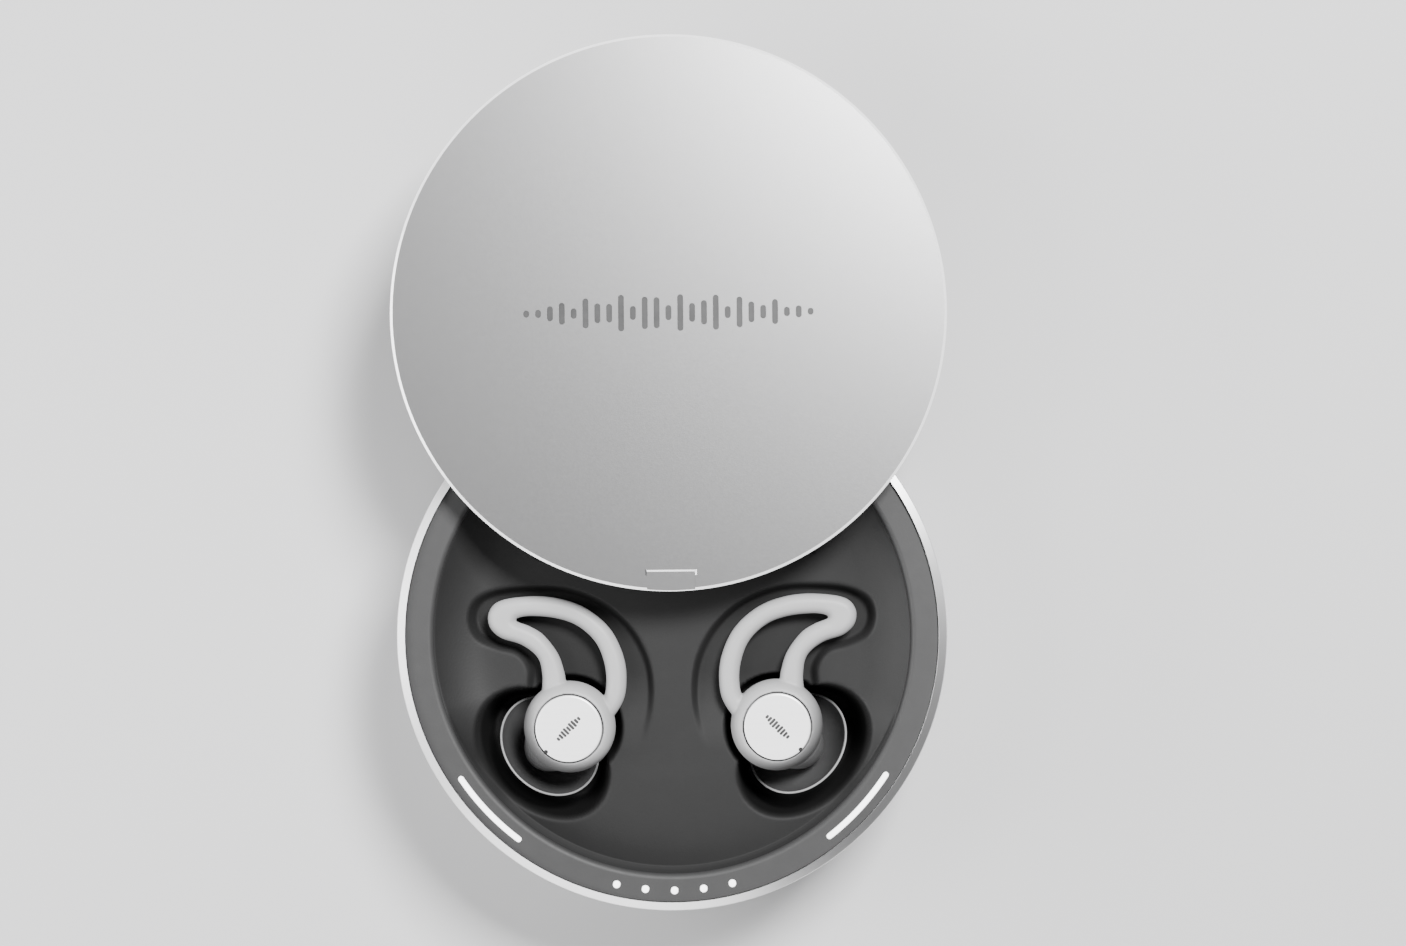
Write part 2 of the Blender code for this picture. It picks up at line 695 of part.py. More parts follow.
def add_housing(bud, side, word):
    housing = add_object(
        f"{word}_bud_housing", turned(housing_profile(0), MEDIUM), bud_plastic(), parent=bud
    )
    tube = [(0, 3.0), (1.75, 3.0), (1.75, 10.3), (0, 10.3)]
    join(housing, along_nozzle(tube, side, 12), f"{word}_nozzle", parent=bud)
    cavity = [(0, -3.9), (4.5, -3.9), (4.5, 4), (0, 4)]
    cut(housing, turned(cavity, MEDIUM), f"{word}_housing_cavity", parent=bud)
    bore = [(0, 2.5), (1.1, 2.5), (1.1, 12), (0, 12)]
    cut(housing, along_nozzle(bore, side, 12), f"{word}_nozzle_bore", parent=bud)
    for i, (x, y) in enumerate(contact_spots(side), 1):
        hole = prism(circle(0.52, SMALL), -6, -3.2)
        cut(housing, hole, f"{word}_contact_hole_{i}", (x, y, 0), bud)


def fin_section(outline):
    """Rings that round the fin's edges: full width at the middle, narrower at both faces."""
    half, roll = FIN_HALF, 0.6
    levels = [(-half, -roll), (-half / 2, 0), (half / 2, 0), (half, -roll)]
    return [[(x, y, FIN_MIDDLE + z) for x, y in grown(outline, inset)] for z, inset in levels]


def fin_hole_section(outline):
    """The cutter for the fin's opening, flared at both faces so that the inner edge is round too."""
    half, roll = FIN_HALF, 0.6
    levels = [(-half - 0.6, roll), (-half, roll), (-half / 2, 0), (half / 2, 0), (half, roll), (half + 0.6, roll)]
    return [[(x, y, FIN_MIDDLE + z) for x, y in grown(outline, inset)] for z, inset in levels]


def add_ear_tip(bud, side, word):
    """The one-piece silicone tip: a sleeve round the body, a hooked fin and an umbrella on the nozzle."""
    sleeve = [
        (0, 2.8),
        (5.2, 2.8),
        (5.9, 2.3),
        (6.32, 1.3),
        (BUD_RADIUS, 0),
        (6.3, -1.8),
        (5.8, -3.4),
        (4.9, -4.8),
        (4.2, -5.15),
        (0, -5.15),
    ]
    tip = add_object(f"{word}_ear_tip", turned(sleeve, MEDIUM), silicone(), parent=bud)
    outer = anticlockwise([(side * out, rear) for out, rear in smooth_loop(FIN_OUTER, 2)])
    inner = anticlockwise([(side * out, rear) for out, rear in smooth_loop(FIN_INNER, 2)])
    fin = add_object(f"{word}_fin", loft(fin_section(outer)), None, parent=bud)
    cut(fin, loft(fin_hole_section(inner)), f"{word}_fin_opening", parent=bud)
    boolean(tip, fin, "UNION")
    umbrella = [
        (0, 2.6),
        (4.7, 2.6),
        (3.9, 5.4),
        (3.5, 6.8),
        (3.0, 8.6),
        (3.0, 9.6),
        (4.5, 9.0),
        (6.1, 8.0),
        (7.2, 6.9),
        (7.7, 6.9),
        (7.7, 7.3),
        (6.7, 8.7),
        (5.0, 9.9),
        (3.2, 10.75),
        (1.6, 11.15),
        (0, 11.15),
    ]
    join(tip, along_nozzle(umbrella, side), f"{word}_umbrella", parent=bud)
    cut(tip, turned(housing_profile(0.1), MEDIUM), f"{word}_body_clearance", parent=bud)
    face_hole = [(0, 1), (4.8, 1), (4.8, 5), (0, 5)]
    cut(tip, turned(face_hole, MEDIUM), f"{word}_face_opening", parent=bud)
    tube = [(0, 2), (1.87, 2), (1.87, 10.45), (1.2, 10.45), (1.2, 13), (0, 13)]
    cut(tip, along_nozzle(tube, side, SMALL), f"{word}_nozzle_clearance", parent=bud)
    window = prism(circle(2.3, SMALL), -7, -4)
    inwards = 3.5 * DIAGONAL
    cut(tip, window, f"{word}_contact_window", (-side * inwards, inwards, 0), bud)


def add_bud_insides(bud, side, word):
    """The speaker, cell, board and contacts in the body, and the screen in the nozzle."""
    outwards = 1.5 * DIAGONAL
    driver = turned([(0, 0), (2.2, 0), (2.2, 1.1), (1.6, 1.5), (0, 1.5)], MEDIUM)
    add_object(f"{word}_driver", driver, steel(), (side * outwards, -outwards, -3.75), bud)
    inwards = 2.05 * DIAGONAL
    add_object(f"{word}_bud_magnet", magnet(1.0, 1.4), steel(), (-side * inwards, inwards, -3.75), bud)
    cell = turned([(0, 0), (3.7, 0), (3.9, 0.2), (3.9, 2.4), (3.5, 2.8), (0, 2.8)], MEDIUM)
    add_object(f"{word}_coin_cell", cell, cell_wrap(), (0, 0, -2.05), bud)
    add_object(f"{word}_bud_board", prism(circle(4.2, MEDIUM), 1.0, 1.6), board_green(), parent=bud)
    screen = along_nozzle([(0, 9.5), (1.0, 9.5), (1.0, 9.8), (0, 9.8)], side, SMALL)
    add_object(f"{word}_nozzle_screen", screen, steel(), parent=bud)
    for i, (x, y) in enumerate(contact_spots(side), 1):
        stud = turned([(0, -4.9), (0.3, -4.9), (0.42, -4.8), (0.42, -3.3), (0, -3.3)], SMALL)
        add_object(f"{word}_contact_{i}", stud, gold(), (x, y, 0), bud)


def add_bud(side, word):
    bud = add_empty(f"{word}_bud", (side * BUD_X, BUD_Y, BUD_Z))
    add_housing(bud, side, word)
    disc = [(0, 3.1), (4.0, 3.06), (4.4, 2.98), (4.62, 2.75), (4.62, 2.4), (0, 2.4)]
    add_object(f"{word}_bud_face", turned(disc, MEDIUM), face_metal(), parent=bud)
    add_ear_tip(bud, side, word)
    add_bud_insides(bud, side, word)


def main():
    for old in list(bpy.data.objects):
        bpy.data.objects.remove(old)
    add_foot_pad()
    add_bottom_cover()
    add_base_shell()
    add_deck()
    add_light_ring()
    add_lights()
    add_led_board()
    add_main_board()
    add_battery()
    add_charge_socket()
    add_screws()
    add_guides()
    add_base_magnets()
    add_charge_pins()
    add_lid()
    add_bud(-1, "left")
    add_bud(1, "right")


main()
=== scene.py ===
"""The looks of the round earbuds case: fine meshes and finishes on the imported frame.

Shapes are worked out in millimetres in the part's frame, from the CAD boxes where they give a size, and
turned into metres where each mesh is made. Earbud shapes are right-handed and mirrored for the left.
"""

import json
import math

import bmesh
import bpy
import numpy as np
from mathutils import Matrix, Vector


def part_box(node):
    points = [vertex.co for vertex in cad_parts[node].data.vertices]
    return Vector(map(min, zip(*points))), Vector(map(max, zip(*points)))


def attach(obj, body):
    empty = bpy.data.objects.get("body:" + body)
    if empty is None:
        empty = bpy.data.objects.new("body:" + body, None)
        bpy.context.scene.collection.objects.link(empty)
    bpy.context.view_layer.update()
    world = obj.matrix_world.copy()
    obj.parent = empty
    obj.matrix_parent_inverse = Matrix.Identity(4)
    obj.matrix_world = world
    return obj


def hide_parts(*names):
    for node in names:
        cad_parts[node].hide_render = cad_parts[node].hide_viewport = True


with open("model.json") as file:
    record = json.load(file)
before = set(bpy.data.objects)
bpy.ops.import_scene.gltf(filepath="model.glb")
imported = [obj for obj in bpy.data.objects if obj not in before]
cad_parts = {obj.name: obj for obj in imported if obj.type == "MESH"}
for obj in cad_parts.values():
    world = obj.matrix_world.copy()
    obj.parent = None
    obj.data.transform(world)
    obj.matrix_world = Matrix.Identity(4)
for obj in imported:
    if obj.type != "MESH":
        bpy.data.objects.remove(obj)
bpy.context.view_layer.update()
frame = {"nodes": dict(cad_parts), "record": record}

MM = 0.001


def box_mm(node):
    low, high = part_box(node)
    return np.array(low) / MM, np.array(high) / MM


WALL_LOW, WALL_HIGH = box_mm("base_shell")
LID_LOW, LID_HIGH = box_mm("lid_plate")
LINER_HIGH = box_mm("lid_liner")[1]
RING_HIGH = box_mm("light_ring")[1]
FACE_LOW, FACE_HIGH = box_mm("right_bud_face")
SOCKET_LOW, SOCKET_HIGH = box_mm("charge_socket")

# The case, in millimetres.
CASE_RADIUS = WALL_HIGH[0]
INNER_RADIUS = CASE_RADIUS - 1.2
RIM_TOP = WALL_HIGH[2]
WALL_BOTTOM = WALL_LOW[2]
LID_Y = (LID_LOW[1] + LID_HIGH[1]) / 2
LID_BOTTOM = LID_LOW[2]
LID_TOP = LID_HIGH[2]
LID_CHAMFER = 0.36
LID_BEVEL_DROP = 0.2
LINER_TOP = LINER_HIGH[2]
RING_TOP = RING_HIGH[2]
RING_OUTER = INNER_RADIUS - 0.02
RING_INNER = 33.1
SOCKET_Z = (SOCKET_LOW[2] + SOCKET_HIGH[2]) / 2

# The lights in the ring. The dots' spacing and the bars' ends, from the front, are in degrees.
LIGHT_RADIUS = 35.37
LIGHT_SPACING = 6.55
BAR_ANGLES = (37.5, 56.3)
DOT_RADIUS = 0.5
DOT_OPENING = 0.57
BAR_WIDTH = 0.76
BAR_OPENING = 0.88

# The lid's thumb notch, its places along Y from the lid's centre.
NOTCH_HALF = 3.3
NOTCH_FRONT = -38.6
NOTCH_REAR = -35.4
NOTCH_DEPTH = 0.13
NOTCH_SLOPE = 0.28
NOTCH_RETURN = 0.5

# The bowl, with the raised plateau under the lid.
BOWL_RADIUS = 33.1
BOWL_FLOOR = 18.3
BOWL_THICKNESS = 0.8
BOWL_UNDER_GROW = 0.9
PLATEAU = [(-19.0, 11.5), (19.0, 11.5), (19.0, 40.0), (-19.0, 40.0)]
PLATEAU_TOP = 22.4
PLATEAU_RADIUS = 32.4

# An earbud's centre, and the shapes round it in its own plan: (outwards, rearwards).
BUD_X = (FACE_LOW[0] + FACE_HIGH[0]) / 2
BUD_Y = (FACE_LOW[1] + FACE_HIGH[1]) / 2
FACE_TOP = 3.1
BUD_Z = FACE_HIGH[2] - FACE_TOP
FACE_RADIUS = 4.62
DIAGONAL = math.sqrt(0.5)
TIP_TILT = math.radians(40)
NOZZLE = (math.sin(TIP_TILT) * DIAGONAL, -math.sin(TIP_TILT) * DIAGONAL, -math.cos(TIP_TILT))
SEAT_RADIUS = 7.3
SEAT_FLOOR = 13.35
WELL_FLOOR = 7.4
WELL_RISE = 5.2
POCKET_FLOOR = 16.8
FIN_OUTER = [
    (3.8, 4.0), (3.8, 7.2), (4.4, 9.7), (6.6, 11.5), (9.5, 12.5), (11.1, 14.1), (11.2, 16.2),
    (9.6, 17.8), (5.5, 18.4), (1.5, 18.1), (-2.4, 16.7), (-5.8, 13.8), (-7.7, 9.9), (-8.1, 6.2),
    (-7.4, 3.1), (-5.0, 0.4), (-1.0, 0.0), (2.5, 1.2),
]  # fmt: skip
FIN_INNER = [
    (7.3, 15.0), (5.6, 15.5), (1.9, 15.2), (-1.2, 14.1), (-3.7, 11.8), (-4.9, 8.8), (-5.1, 5.8),
    (-4.4, 3.9), (-2.0, 4.6), (0.2, 5.6), (0.5, 7.4), (1.4, 10.2), (3.4, 12.9), (5.4, 14.2),
]  # fmt: skip
POCKET = [
    (5.2, 4.0), (5.6, 8.0), (7.2, 10.3), (10.0, 11.2), (12.6, 12.6), (13.6, 15.0), (12.9, 17.5),
    (10.2, 19.0), (5.5, 19.5), (0.3, 19.2), (-4.6, 17.3), (-8.5, 13.9), (-10.9, 9.5), (-11.6, 5.0),
    (-11.1, 0.6), (-9.4, -3.4), (-5.0, -3.0), (0.0, 0.0),
]  # fmt: skip

# Where the bowl's slope into each shape starts and ends, as distances inside the shape's outline.
PLATEAU_SLOPE = (-0.4, 0.5)
POCKET_SLOPE = (-0.45, 0.65)
SEAT_SLOPE = (-0.35, 0.9)
WELL_SLOPE = (-0.55, 1.5)

# The silicone sleeve's outside: radius, and height over the bud's centre.
SLEEVE = [
    (0, 2.82), (4.9, 2.82), (5.25, 2.68), (5.6, 2.38), (5.92, 1.95), (6.18, 1.35), (6.36, 0.65),
    (6.45, -0.2), (6.4, -1.1), (6.24, -2.1), (5.95, -3.1), (5.5, -4.0), (4.9, -4.7), (4.2, -5.1),
    (0, -5.15),
]  # fmt: skip

# The neck's rings: distance along the nozzle, radius, and rise towards the upper side.
NECK_RINGS = [
    (1.6, 4.0, 0.5), (2.6, 4.7, 0.6), (3.5, 4.6, 0.65), (4.8, 4.25, 0.6),
    (6.1, 3.85, 0.45), (7.5, 3.45, 0.25), (8.8, 3.0, 0.1), (9.6, 2.5, 0.0),
]  # fmt: skip

# The generic marks: rows of bars in millimetres, with a least share of the full height.
LID_MARK = {"count": 25, "pitch": 1.62, "width": 0.8, "tall": 5.0, "least": 0.12}
FACE_MARK = {"count": 9, "pitch": 0.5, "width": 0.38, "tall": 1.15, "least": 0.5}

# How many steps a round shape takes.
FINE = 256
MEDIUM = 96
SMALL = 32

# The camera, straight above, and the picture that it takes.
IMAGE_WIDTH = 1406
FOCAL_PIXELS = 2892
SENSOR = 36.0
CAMERA_PLACE = (4.51, 22.43, 423.3)
CAMERA_TURN = math.radians(-0.57)

# The stage: its tones, and each light's place, aim and size in millimetres, and its power in watts.
FLOOR_TONE = 0.54
WORLD_STRENGTH = 0.11
LIGHTS = {
    "key": ((166, 262, 510), (0, 20, 0), (170, 170), 9.7),
    "left_fill": ((-338, -103, 340), (0, 20, 20), (340, 300), 0.6),
    "front_fill": ((-93, -328, 340), (0, 20, 20), (340, 300), 1.2),
    "left_window": ((-345, 10, 190), (0, 10, 20), (300, 120), 1.3),
    "left_strip": ((-290, 20, 400), (0, 0, 20), (220, 110), 0.42),
}


# --- shapes


def turned(profile, steps=FINE):
    """A solid turned about Z from (radius, height) points, which end on the axis or make a loop."""
    shape = bmesh.new()
    points = [shape.verts.new((radius * MM, 0, height * MM)) for radius, height in profile]
    off_axis = profile[0][0] > 0 and profile[-1][0] > 0
    following = points[1:] + points[:1] if off_axis else points[1:]
    edges = [shape.edges.new(pair) for pair in zip(points, following)]
    bmesh.ops.spin(
        shape,
        geom=points + edges,
        cent=(0, 0, 0),
        axis=(0, 0, 1),
        angle=2 * math.pi,
        steps=steps,
        use_merge=True,
    )
    return cleaned(shape)


def loft(rings):
    """A closed solid through rings of (x, y, z) points, all with the same number of points."""
    shape = bmesh.new()
    loops = [[shape.verts.new((x * MM, y * MM, z * MM)) for x, y, z in ring] for ring in rings]
    count = len(loops[0])
    for low, high in zip(loops, loops[1:]):
        for i in range(count):
            j = (i + 1) % count
            shape.faces.new((low[i], low[j], high[j], high[i]))
    shape.faces.new(loops[0][::-1])
    shape.faces.new(loops[-1])
    return cleaned(shape)


def skin(points, faces):
    """A closed solid from an array of points and the faces between them."""
    scratch = bpy.data.meshes.new("scratch")
    scratch.from_pydata((points * MM).tolist(), [], faces)
    shape = bmesh.new()
    shape.from_mesh(scratch)
    bpy.data.meshes.remove(scratch)
    bmesh.ops.recalc_face_normals(shape, faces=shape.faces)
    return shape


def prism(outline, low, high, chamfer=0.0):
    """An outline raised from one height to another, its upper edge chamfered."""
    rings = [(outline, low), (outline, high - chamfer)]
    if chamfer:
        rings.append((grown(outline, -chamfer), high))
    return loft([[(x, y, z) for x, y in ring] for ring, z in rings])


def cleaned(shape):
    bmesh.ops.remove_doubles(shape, verts=shape.verts, dist=1e-7)
    bmesh.ops.recalc_face_normals(shape, faces=shape.faces)
    return shape


def moved(shape, offset):
    bmesh.ops.translate(shape, vec=Vector([float(v) for v in offset]) * MM, verts=shape.verts)
    return shape


def swung(shape, matrix):
    bmesh.ops.transform(shape, matrix=matrix.to_4x4(), verts=shape.verts)
    return shape


def gathered(shapes):
    """Several separate solids in one mesh."""
    together = bmesh.new()
    for shape in shapes:
        scratch = bpy.data.meshes.new("scratch")
        shape.to_mesh(scratch)
        shape.free()
        together.from_mesh(scratch)
        bpy.data.meshes.remove(scratch)
    return together


def circle(radius, steps, centre=(0, 0)):
    angles = [2 * math.pi * i / steps for i in range(steps)]
    return [(centre[0] + radius * math.cos(a), centre[1] + radius * math.sin(a)) for a in angles]


def polar(radius, degrees):
    angle = math.radians(degrees)
    return radius * math.cos(angle), radius * math.sin(angle)


def rounded_rectangle(width, depth, radius, steps=8):
    """An outline centred on the origin, with quarter circles at its corners."""
    outline = []
    for quarter, (sx, sy) in enumerate([(1, 1), (-1, 1), (-1, -1), (1, -1)]):
        cx, cy = sx * (width / 2 - radius), sy * (depth / 2 - radius)
        for i in range(steps + 1):
            a = math.pi / 2 * (quarter + i / steps)
            outline.append((cx + radius * math.cos(a), cy + radius * math.sin(a)))
    return outline


def arc_band(radius, width, start, end, steps=24):
    """A curved bar with round ends about the origin, its angles in degrees."""
    half = width / 2
    angles = [math.radians(start + (end - start) * i / steps) for i in range(steps + 1)]
    outline = [((radius + half) * math.cos(a), (radius + half) * math.sin(a)) for a in angles]
    outline += round_end(radius, half, angles[-1], 0)
    inner = radius - half
    outline += [(inner * math.cos(a), inner * math.sin(a)) for a in reversed(angles)]
    outline += round_end(radius, half, angles[0], math.pi)
    return outline


def round_end(radius, half, angle, start, steps=8):
    """The points inside a half circle that closes one end of a curved bar."""
    cx, cy = radius * math.cos(angle), radius * math.sin(angle)
    turns = [angle + start + math.pi * i / steps for i in range(1, steps)]
    return [(cx + half * math.cos(a), cy + half * math.sin(a)) for a in turns]


def smooth_loop(points, per_span):
    """A closed Catmull-Rom curve through the points."""
    count = len(points)
    outline = []
    for i in range(count):
        before, start, end, after = (Vector(points[(i + k) % count]) for k in (-1, 0, 1, 2))
        for k in range(per_span):
            t = k / per_span
            spot = 2 * start + (end - before) * t
            spot += (2 * before - 5 * start + 4 * end - after) * t**2
            spot += (3 * start - before - 3 * end + after) * t**3
            outline.append((spot.x / 2, spot.y / 2))
    return outline


def anticlockwise(outline):
    area = sum(a[0] * b[1] - b[0] * a[1] for a, b in zip(outline, outline[1:] + outline[:1]))
    return outline if area > 0 else outline[::-1]


def grown(outline, distance):
    """An anticlockwise outline moved outwards by a distance, or inwards if it is negative."""
    count = len(outline)
    result = []
    for i in range(count):
        before, after = Vector(outline[i - 1]), Vector(outline[(i + 1) % count])
        along = (after - before).normalized()
        result.append((outline[i][0] + along.y * distance, outline[i][1] - along.x * distance))
    return result


def corner_arc(centre, radius, start, end, steps=6):
    """Points of a (radius, height) profile round a corner. Its angles are in degrees from outwards."""
    angles = [math.radians(start + (end - start) * i / steps) for i in range(steps + 1)]
    return [(centre[0] + radius * math.cos(a), centre[1] + radius * math.sin(a)) for a in angles]


# --- objects


def bare_object(name, shape, finishes=()):
    mesh = bpy.data.meshes.new(name)
    shape.to_mesh(mesh)
    shape.free()
    for finish in finishes:
        mesh.materials.append(finish)
    made = bpy.data.objects.new(name, mesh)
    bpy.context.scene.collection.objects.link(made)
    return made


def bake(target):
    """Turns what the object's modifiers make into its own mesh."""
    bpy.context.view_layer.update()
    graph = bpy.context.evaluated_depsgraph_get()
    result = bpy.data.meshes.new_from_object(target.evaluated_get(graph))
    target.modifiers.clear()
    old = target.data
    target.data = result
    result.name = target.name
    bpy.data.meshes.remove(old)


def combine(target, shape, operation):
    """Cuts a shape out of an object, or joins it on."""
    tool = bare_object("tool", shape, list(target.data.materials))
    modifier = target.modifiers.new("combine", "BOOLEAN")
    modifier.operation = operation
    modifier.solver = "EXACT"
    modifier.object = tool
    bake(target)
    used = tool.data
    bpy.data.objects.remove(tool)
    bpy.data.meshes.remove(used)


def cut(target, shape):
    combine(target, shape, "DIFFERENCE")


def join(target, shape):
    combine(target, shape, "UNION")


def remake(target, voxel, rounds):
    """Remakes an object as one even skin, its corners softened by rounds of smoothing."""
    remesh = target.modifiers.new("remesh", "REMESH")
    remesh.mode = "VOXEL"
    remesh.voxel_size = voxel * MM
    soften = target.modifiers.new("soften", "SMOOTH")
    soften.factor = 0.5
    soften.iterations = rounds
    bake(target)


def finish_piece(target, body, stands_for=(), sharp=30):
    """Gives a piece its shading, its CAD body and the CAD nodes it stands for."""
    target.data.shade_smooth()
    if sharp:
        target.data.set_sharp_from_angle(angle=math.radians(sharp))
        even = target.modifiers.new("even_shading", "WEIGHTED_NORMAL")
        even.keep_sharp = True
    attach(target, body)
    if stands_for:
        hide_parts(*stands_for)


def mirrored(shape, side):
    """A right-hand shape, or its mirror image for the left."""
    if side > 0:
        return shape
    bmesh.ops.scale(shape, vec=(-1, 1, 1), verts=shape.verts)
    bmesh.ops.reverse_faces(shape, faces=shape.faces)
    return shape


# --- finishes


def new_material(name, roughness, metallic=0.0, sockets=None):
    """A Principled material and its shader, with any other sockets by their names."""
    made = bpy.data.materials.new(name)
    made.use_nodes = True
    shader = made.node_tree.nodes["Principled BSDF"]
    shader.inputs["Roughness"].default_value = roughness
    shader.inputs["Metallic"].default_value = metallic
    for socket, value in (sockets or {}).items():
        shader.inputs[socket].default_value = value
    return made, shader


def tone(value):
    """A neutral grey from one number, or a colour as it is."""
    return value if isinstance(value, tuple) else (value, value, value * 1.01, 1.0)


def object_axes(tree):
    """A point's X, Y and Z in the object's own space."""
    place = tree.nodes.new("ShaderNodeTexCoord")
    axes = tree.nodes.new("ShaderNodeSeparateXYZ")
    tree.links.new(place.outputs["Object"], axes.inputs["Vector"])
    return axes.outputs


def object_noise(tree, size, detail=3.0, stretch=(1, 1, 1)):
    """Noise in the object's own space, its largest features about the given size in millimetres."""
    place = tree.nodes.new("ShaderNodeTexCoord")
    shape = tree.nodes.new("ShaderNodeMapping")
    shape.inputs["Scale"].default_value = stretch
    texture = tree.nodes.new("ShaderNodeTexNoise")
    texture.inputs["Scale"].default_value = 1 / (size * MM)
    texture.inputs["Detail"].default_value = detail
    tree.links.new(place.outputs["Object"], shape.inputs["Vector"])
    tree.links.new(shape.outputs["Vector"], texture.inputs["Vector"])
    return texture.outputs["Fac"]


def colour_from(tree, shader, factor, dark, light, low=0.3, high=0.7):
    """Base colour that runs between two tones as a factor does."""
    ramp = tree.nodes.new("ShaderNodeValToRGB")
    ramp.color_ramp.elements[0].position = low
    ramp.color_ramp.elements[0].color = tone(dark)
    ramp.color_ramp.elements[1].position = high
    ramp.color_ramp.elements[1].color = tone(light)
    tree.links.new(factor, ramp.inputs["Fac"])
    tree.links.new(ramp.outputs["Color"], shader.inputs["Base Color"])


def spread_from(tree, value, start, end, low, high, curve="SMOOTHSTEP"):
    """A value's run from start to end, turned into one from low to high."""
    spread = tree.nodes.new("ShaderNodeMapRange")
    spread.interpolation_type = curve
    spread.inputs["From Min"].default_value = start
    spread.inputs["From Max"].default_value = end
    spread.inputs["To Min"].default_value = low
    spread.inputs["To Max"].default_value = high
    tree.links.new(value, spread.inputs["Value"])
    return spread.outputs["Result"]


def patchy(tree, value, patch, share):
    """A value with a share of slow noise added."""
    mix = tree.nodes.new("ShaderNodeMath")
    mix.operation = "MULTIPLY_ADD"
    mix.inputs[1].default_value = share
    tree.links.new(object_noise(tree, patch, 5), mix.inputs[0])
    tree.links.new(value, mix.inputs[2])
    return mix.outputs["Value"]


def roughness_from(tree, shader, factor, low, high):
    """Roughness that runs from low to high over the middle of a factor's range."""
    rough = spread_from(tree, factor, 0.3, 0.7, low, high, "LINEAR")
    tree.links.new(rough, shader.inputs["Roughness"])


def bump_from(tree, shader, factor, height):
    """Relief from a factor, its full height in millimetres."""
    bump = tree.nodes.new("ShaderNodeBump")
    bump.inputs["Strength"].default_value = 1.0
    bump.inputs["Distance"].default_value = height * MM
    tree.links.new(factor, bump.inputs["Height"])
    tree.links.new(bump.outputs["Normal"], shader.inputs["Normal"])


def grained(name, dark, light, rough, grain, relief, patch=9.0, metallic=0.0, sockets=None):
    """A moulded or blasted surface: slow drifts of tone, a change of gloss, and a fine grain."""
    made, shader = new_material(name, sum(rough) / 2, metallic, sockets)
    tree = made.node_tree
    colour_from(tree, shader, object_noise(tree, patch, 4), dark, light)
    roughness_from(tree, shader, object_noise(tree, patch / 3, 5), *rough)
    bump_from(tree, shader, object_noise(tree, grain, 2), relief)
    return made


def blasted_metal():
    """Bead-blasted, anodised aluminium: even and satin, with faint handling marks."""
    return grained(
        "blasted_metal", 0.475, 0.485, (0.295, 0.305), grain=0.16, relief=0.003, patch=1.2, metallic=1.0
    )


def cut_metal(name, metallic, dark, light):
    """The bright chamfers, turned after anodising. Where the metallic is low and the base near white,
    as on the lid's edges, the brightness is a painted glint.
    """
    made, shader = new_material(name, 0.3, metallic)
    tree = made.node_tree
    colour_from(tree, shader, object_noise(tree, 6.0), dark, light)
    roughness_from(tree, shader, object_noise(tree, 9.0), 0.298, 0.303)
    return made


def soft_touch():
    """The bowl's dark soft-touch moulding, glossier up its sides, with painted shade that makes it
    blacker down in its wells and pockets.
    """
    made, shader = new_material("soft_touch", 0.5, 0.0, {"Specular IOR Level": 0.26})
    tree = made.node_tree
    z = object_axes(tree)["Z"]
    # Painted shade: the base colour darkens with depth below the bowl's floor, in place of the shade
    # down in the wells and pockets.
    height = spread_from(tree, z, 15.4 * MM, (BOWL_FLOOR - 0.2) * MM, 0.0, 0.85)
    colour_from(tree, shader, patchy(tree, height, 3.0, 0.15), 0.001, 0.0125, 0.08, 1.0)
    gloss = spread_from(tree, z, (BOWL_FLOOR + 0.1) * MM, (BOWL_FLOOR + 1.0) * MM, 0.28, 0.62)
    roughness_from(tree, shader, patchy(tree, gloss, 0.9, 0.08), 0.7, 0.48)
    bump_from(tree, shader, object_noise(tree, 0.28, 3), 0.012)
    return made


def ring_moulding():
    """The ring's mid-grey moulding."""
    gloss = {"Specular IOR Level": 0.35}
    return grained(
        "ring_moulding", 0.032, 0.035, (0.55, 0.6), grain=0.25, relief=0.008, patch=2.5, sockets=gloss
    )


def silicone():
    """Matt pale silicone, with painted shade that darkens it where it runs out along the nozzle into
    the well.
    """
    softness = {
        "Subsurface Weight": 0.06,
        "Subsurface Radius": (0.0006, 0.00055, 0.0005),
        "Specular IOR Level": 0.4,
    }
    made, shader = new_material("silicone", 0.5, 0.0, softness)
    tree = made.node_tree
    axes = object_axes(tree)
    outwards = tree.nodes.new("ShaderNodeMath")
    outwards.operation = "ABSOLUTE"
    right_hand = tree.nodes.new("ShaderNodeCombineXYZ")
    along = tree.nodes.new("ShaderNodeVectorMath")
    along.operation = "DOT_PRODUCT"
    along.inputs[1].default_value = NOZZLE
    tree.links.new(axes["X"], outwards.inputs[0])
    tree.links.new(outwards.outputs["Value"], right_hand.inputs["X"])
    tree.links.new(axes["Y"], right_hand.inputs["Y"])
    tree.links.new(axes["Z"], right_hand.inputs["Z"])
    tree.links.new(right_hand.outputs["Vector"], along.inputs[0])
    bud = BUD_X * NOZZLE[0] + BUD_Y * NOZZLE[1] + BUD_Z * NOZZLE[2]
    # Painted shade: the colour runs from darkest out along the nozzle to palest towards the face, in
    # place of the shade down in the well.
    darkest, palest = (bud + 4.0) * MM, (bud - 3.2) * MM
    painted_nozzle_shade = spread_from(tree, along.outputs["Value"], darkest, palest, 0.0, 0.9)
    factor = patchy(tree, painted_nozzle_shade, 5.0, 0.1)
    colour_from(tree, shader, factor, 0.10, 0.35, 0.0, 1.0)
    roughness_from(tree, shader, object_noise(tree, 1.7, 5), 0.45, 0.55)
    bump_from(tree, shader, object_noise(tree, 0.35, 2), 0.006)
    return made


def membrane():
    """The umbrella's thin wall, which lets the dark well behind it show through, its silicone painted a
    dark grey for the shade under the bud.
    """
    thin = {"Alpha": 0.35}
    return grained("membrane", 0.09, 0.11, (0.4, 0.5), grain=0.3, relief=0.003, patch=4.0, sockets=thin)


def rim_silicone():
    """The umbrella's thicker bead."""
    return grained("rim_silicone", 0.2, 0.25, (0.34, 0.42), grain=0.3, relief=0.004, patch=4.0)


def bud_moulding():
    """The hard plastic of the earbuds' bodies."""
    return grained("bud_moulding", 0.10, 0.13, (0.3, 0.4), grain=0.2, relief=0.004, patch=4.0)


